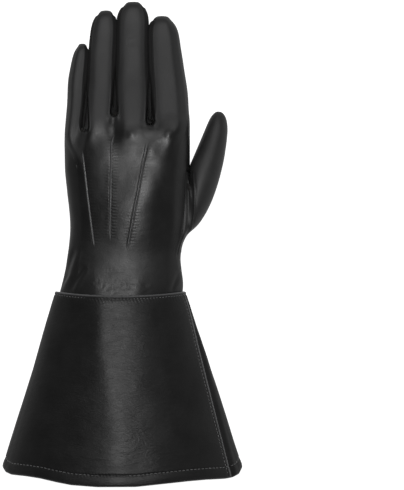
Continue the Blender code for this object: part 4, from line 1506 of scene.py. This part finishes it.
def leather(name, creases, pitch, gloss, rough, dark, folds):
    """Smooth black leather: fine grain, soft creases, puckers beside the stitches, uneven shine, and a
    painted highlight, a paler base colour, on ridges, edges and fingers.
    """
    material, tree, shader, place = new_material(
        name, rough, Specular_IOR_Level=gloss, Coat_Weight=0.1 * gloss, Coat_Roughness=0.3, IOR=1.5
    )
    patches = noise(tree, place, 55, 3, 0.6)
    fine = noise(tree, place, 420, 3, 0.6)
    tone = colours(tree, patches, ((0.3, (0.85 * dark,) * 3), (0.7, (1.2 * dark,) * 3)))
    # Painted highlight: the attribute mixes the base colour towards a pale grey
    shine = tree.nodes.new("ShaderNodeAttribute")
    shine.attribute_name = "painted_highlight"
    painted_highlight_mix = tree.nodes.new("ShaderNodeMixRGB")
    tree.links.new(shine.outputs["Fac"], painted_highlight_mix.inputs["Fac"])
    tree.links.new(tone, painted_highlight_mix.inputs["Color1"])
    painted_highlight_mix.inputs["Color2"].default_value = PAINTED_HIGHLIGHT_COLOUR
    tree.links.new(painted_highlight_mix.outputs["Color"], shader.inputs["Base Color"])
    broad = to_range(tree, patches, 0.3, 0.7, rough - 0.03, rough + 0.03)
    uneven = maths(tree, "ADD", broad, to_range(tree, fine, 0.3, 0.7, -0.012, 0.012))
    matte = tree.nodes.new("ShaderNodeAttribute")
    matte.attribute_name = "matte"
    duller = maths(tree, "MULTIPLY_ADD", matte.outputs["Fac"], 0.5, uneven)
    tree.links.new(duller, shader.inputs["Roughness"])

    soft = noise(tree, stretched(tree, place, creases), 95, 4, 0.62, 0.9)
    normal = bump(tree, soft, 0.0009, 0.14 * folds)
    fold = noise(tree, stretched(tree, place, creases), 330, 3, 0.6, 1.2)
    normal = bump(tree, fold, 0.00035, 0.12 * folds, normal)
    near = tree.nodes.new("ShaderNodeAttribute")
    near.attribute_name = "stitch_near"
    run = tree.nodes.new("ShaderNodeAttribute")
    run.attribute_name = "stitch_run"
    wave = maths(tree, "COSINE", maths(tree, "MULTIPLY", run.outputs["Fac"], 2 * math.pi / pitch))
    pucker = maths(tree, "MULTIPLY", wave, near.outputs["Fac"])
    normal = bump(tree, pucker, 0.00012, 0.5, normal)
    grain = tree.nodes.new("ShaderNodeTexVoronoi")
    grain.feature = "F1"
    grain.inputs["Scale"].default_value = 1150
    tree.links.new(place, grain.inputs["Vector"])
    normal = bump(tree, grain.outputs["Distance"], 0.00012, 0.16, normal)
    tree.links.new(normal, shader.inputs["Normal"])
    return material


def flesh_side():
    """The leather's napped inner side."""
    looks = {"Specular_IOR_Level": 0.2, "Sheen_Weight": 0.15}
    material, tree, shader, place = new_material("leather_inner_side", 0.95, **looks)
    fibres = noise(tree, place, 700, 4, 0.7)
    clouds = noise(tree, place, 60, 3, 0.6)
    both = maths(tree, "ADD", maths(tree, "MULTIPLY", fibres, 0.5), maths(tree, "MULTIPLY", clouds, 0.5))
    shade = colours(tree, both, ((0.35, (0.012, 0.011, 0.0105)), (0.68, (0.034, 0.032, 0.030))))
    tree.links.new(shade, shader.inputs["Base Color"])
    tree.links.new(bump(tree, fibres, 0.0004, 0.6), shader.inputs["Normal"])
    return material


def thread():
    looks = {"Specular_IOR_Level": 0.4, "Sheen_Weight": 0.2}
    material, tree, shader, place = new_material("black_thread", 0.55, **looks)
    twist = noise(tree, place, 2200, 2, 0.5)
    # Painted highlight: the thread's tone is a mid grey, far lighter than black thread, standing in for
    # light caught on the stitches; the twist noise varies it
    shade = colours(tree, twist, ((0.3, (0.09, 0.09, 0.091)), (0.7, (0.2, 0.2, 0.203))))
    tree.links.new(shade, shader.inputs["Base Color"])
    tree.links.new(bump(tree, twist, 0.0001, 0.6), shader.inputs["Normal"])
    return material


# Pieces

def add_piece(name, points, quads, material, attributes=()):
    mesh = bpy.data.meshes.new(name)
    mesh.from_pydata([tuple(p) for p in to_frame(points)], [], [tuple(int(n) for n in q) for q in quads])
    mesh.materials.append(material)
    for title, values in attributes:
        layer = mesh.attributes.new(title, "FLOAT", "POINT")
        layer.data.foreach_set("value", np.asarray(values, dtype=np.float32))
    mesh.shade_smooth()
    piece = bpy.data.objects.new(name, mesh)
    bpy.context.scene.collection.objects.link(piece)
    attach(piece, "root")
    return piece


def add_hand(hide, thumb_hide, inner):
    surface = Surface()
    weave_hand(surface)
    fine = subdivided(surface, LEVELS)
    near, painted_light, dull = relief(fine)
    for number, name in enumerate(PIECES):
        quads = fine.quads[fine.marks == number]
        used, where = np.unique(quads, return_inverse=True)
        # The highlight attribute carries the painted highlight, a paler base colour on point ridges and
        # fingers
        attributes = (
            ("stitch_near", near[used]),
            ("stitch_run", fine.points[used, 1]),
            ("painted_highlight", painted_light[used]),
            ("matte", dull[used]),
        )
        material = thumb_hide if name == "thumb" else hide
        piece = add_piece(name + "_leather", fine.points[used], where.reshape(-1, 4), material, attributes)
        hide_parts(name)

    inside = subdivided(surface, INSIDE_LEVELS)
    relief(inside)
    inside.push(np.full(len(inside.points), -HAND_WALL))
    inside.points[:, 2] = np.maximum(inside.points[:, 2], 0.6)
    sides = np.concatenate([inside.quads[:, [n, (n + 1) % 4]] for n in range(4)])
    key = np.sort(sides, axis=1)
    _, first, count = np.unique(key, axis=0, return_index=True, return_counts=True)
    rim = sides[first[count == 1]]
    used = np.unique(rim)
    where = {int(n): k for k, n in enumerate(used)}
    normals = inside.normals()
    edge = inside.points[used] + normals[used] * (HAND_WALL - 0.08)
    total = len(inside.points)
    quads = [tuple(q[::-1]) for q in inside.quads]
    quads += [(a, b, total + where[int(b)], total + where[int(a)]) for a, b in rim]
    add_piece("hand_inside", np.concatenate([inside.points, edge]), quads, inner)


def add_cuff(hide, inner):
    for name, is_back in (("cuff_back_panel", True), ("cuff_palm_panel", False)):
        points, quads, near, run, shine = cuff_panel(is_back)
        # The highlight attribute carries the painted highlight, a paler base colour on the rim, lap edges
        # and hem fold
        attributes = (("stitch_near", near), ("stitch_run", run), ("painted_highlight", shine))
        piece = add_piece(name + "_leather", points, quads, hide, attributes)
        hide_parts(name)
    points, quads = cuff_inside()
    add_piece("cuff_inside", points, quads, inner)


def add_stitches(thread_material):
    hem_line = CUFF_LONG - HEM_STITCH
    rounds = (
        ("rim_stitches_back", RIM_STITCH, 2.6, 1.7, lambda r: r.lap + 1.5, lambda r: r.under - 1.5),
        ("rim_stitches_palm", RIM_STITCH, 2.6, 1.7, lambda r: r.under + 1.5, lambda r: r.round - 1.5),
        ("hem_stitches_back", hem_line, 3.2, 2.2, lambda r: r.lap + 1.0, lambda r: r.under - 1.0),
        ("hem_stitches_palm", hem_line, 3.2, 2.2, lambda r: r.under + 2.0, lambda r: r.round - 2.0),
    )
    for name, along, pitch, length, first, last in rounds:
        points, normals = line_round(along, first, last)
        add_piece(name, *stitches(points, normals, pitch, length, 0.3), thread_material)
    for side, place_of in (("thumb", lambda r, d: r.lap + d), ("little", lambda r, d: r.under - d)):
        for k, away in enumerate(LAP_STITCHES):
            points, normals = line_down(lambda r: place_of(r, away))
            sewn = stitches(points, normals, 2.9, 1.9, 0.12)
            add_piece(f"lap_stitches_{side}_{k + 1}", *sewn, thread_material)


# Stage

CAMERA_HEIGHT = 4.0
FOCUS_HEIGHT = 0.012


def add_stage():
    floor = bpy.data.meshes.new("floor")
    wide = 6.0
    corners = [(-wide, -wide, 0), (wide, -wide, 0), (wide, wide, 0), (-wide, wide, 0)]
    floor.from_pydata(corners, [], [(0, 1, 2, 3)])
    material = bpy.data.materials.new("pale_floor")
    material.use_nodes = True
    shader = material.node_tree.nodes["Principled BSDF"]
    shader.inputs["Base Color"].default_value = (0.85, 0.85, 0.85, 1)
    shader.inputs["Roughness"].default_value = 0.9
    shader.inputs["Specular IOR Level"].default_value = 0.1
    shader.inputs["Emission Color"].default_value = (1, 1, 1, 1)
    shader.inputs["Emission Strength"].default_value = 0.93
    floor.materials.append(material)
    plane = bpy.data.objects.new("floor", floor)
    plane.location.z = -0.0004
    plane.visible_glossy = False
    bpy.context.scene.collection.objects.link(plane)


def add_light(name, at, aim, size, power):
    light = bpy.data.lights.new(name, "AREA")
    light.shape = "RECTANGLE"
    light.size, light.size_y = size
    light.energy = power
    lamp = bpy.data.objects.new(name, light)
    lamp.location = at
    lamp.rotation_mode = "QUATERNION"
    lamp.rotation_quaternion = (Vector(aim) - Vector(at)).to_track_quat("-Z", "Y")
    lamp.visible_camera = False
    bpy.context.scene.collection.objects.link(lamp)


def add_camera():
    lens = bpy.data.cameras.new("camera")
    frame_high = PHOTO_HIGH * PIXEL * MM
    lens.sensor_width = 36
    lens.lens = lens.sensor_width * (CAMERA_HEIGHT - FOCUS_HEIGHT) / frame_high
    lens.clip_start, lens.clip_end = 0.05, 20
    camera = bpy.data.objects.new("camera", lens)
    x, y = at_pixel(PHOTO_WIDE / 2, PHOTO_HIGH / 2)
    camera.location = (*to_frame((x, y, 0))[:2], CAMERA_HEIGHT)
    bpy.context.scene.collection.objects.link(camera)
    bpy.context.scene.camera = camera


# The studio's brightness from straight down to straight up
SKY = ((0.0, 0.55), (0.45, 0.5), (0.56, 0.22), (0.74, 0.18), (0.87, 0.07), (1.0, 0.07))
SKY_UP = (-0.2, 0.0, 1.0)


def set_colours():
    scene = bpy.context.scene
    scene.view_settings.view_transform = "Standard"
    scene.view_settings.look = "None"
    world = bpy.data.worlds.new("studio")
    world.use_nodes = True
    tree = world.node_tree
    direction = tree.nodes.new("ShaderNodeVectorMath")
    direction.operation = "DOT_PRODUCT"
    direction.inputs[1].default_value = SKY_UP
    tree.links.new(tree.nodes.new("ShaderNodeTexCoord").outputs["Generated"], direction.inputs[0])
    height = to_range(tree, direction.outputs["Value"], -1, 1, 0, 1)
    brightness = colours(tree, height, [(place, (grey,) * 3) for place, grey in SKY])
    tree.links.new(brightness, tree.nodes["Background"].inputs["Color"])
    scene.world = world


hide = leather("black_leather_fine", (1.0, 1.9, 1.0), 2.4, 0.5, 0.35, 0.0075, 1.0)
thumb_hide = leather("black_leather_thumb", (1.0, 1.4, 1.0), 2.4, 0.45, 0.5, 0.02, 1.4)
cuff_hide = leather("black_leather_cuff", (0.8, 2.3, 0.8), 2.6, 0.28, 0.38, 0.012, 2.3)
inner_side = flesh_side()
add_hand(hide, thumb_hide, inner_side)
add_cuff(cuff_hide, inner_side)
add_stitches(thread())
add_stage()
add_light("softbox", (-0.005, 0.04, 1.5), (-0.005, 0.04, 0.0), (0.18, 0.6), 6.1)
add_light("far_softbox", (0.05, 0.74, 1.28), (0.0, 0.12, 0.0), (1.1, 0.8), 4.3)
add_light("side_softbox", (1.5, 0.05, 0.55), (0.05, 0.0, 0.02), (0.5, 1.2), 0.28)
add_camera()
set_colours()
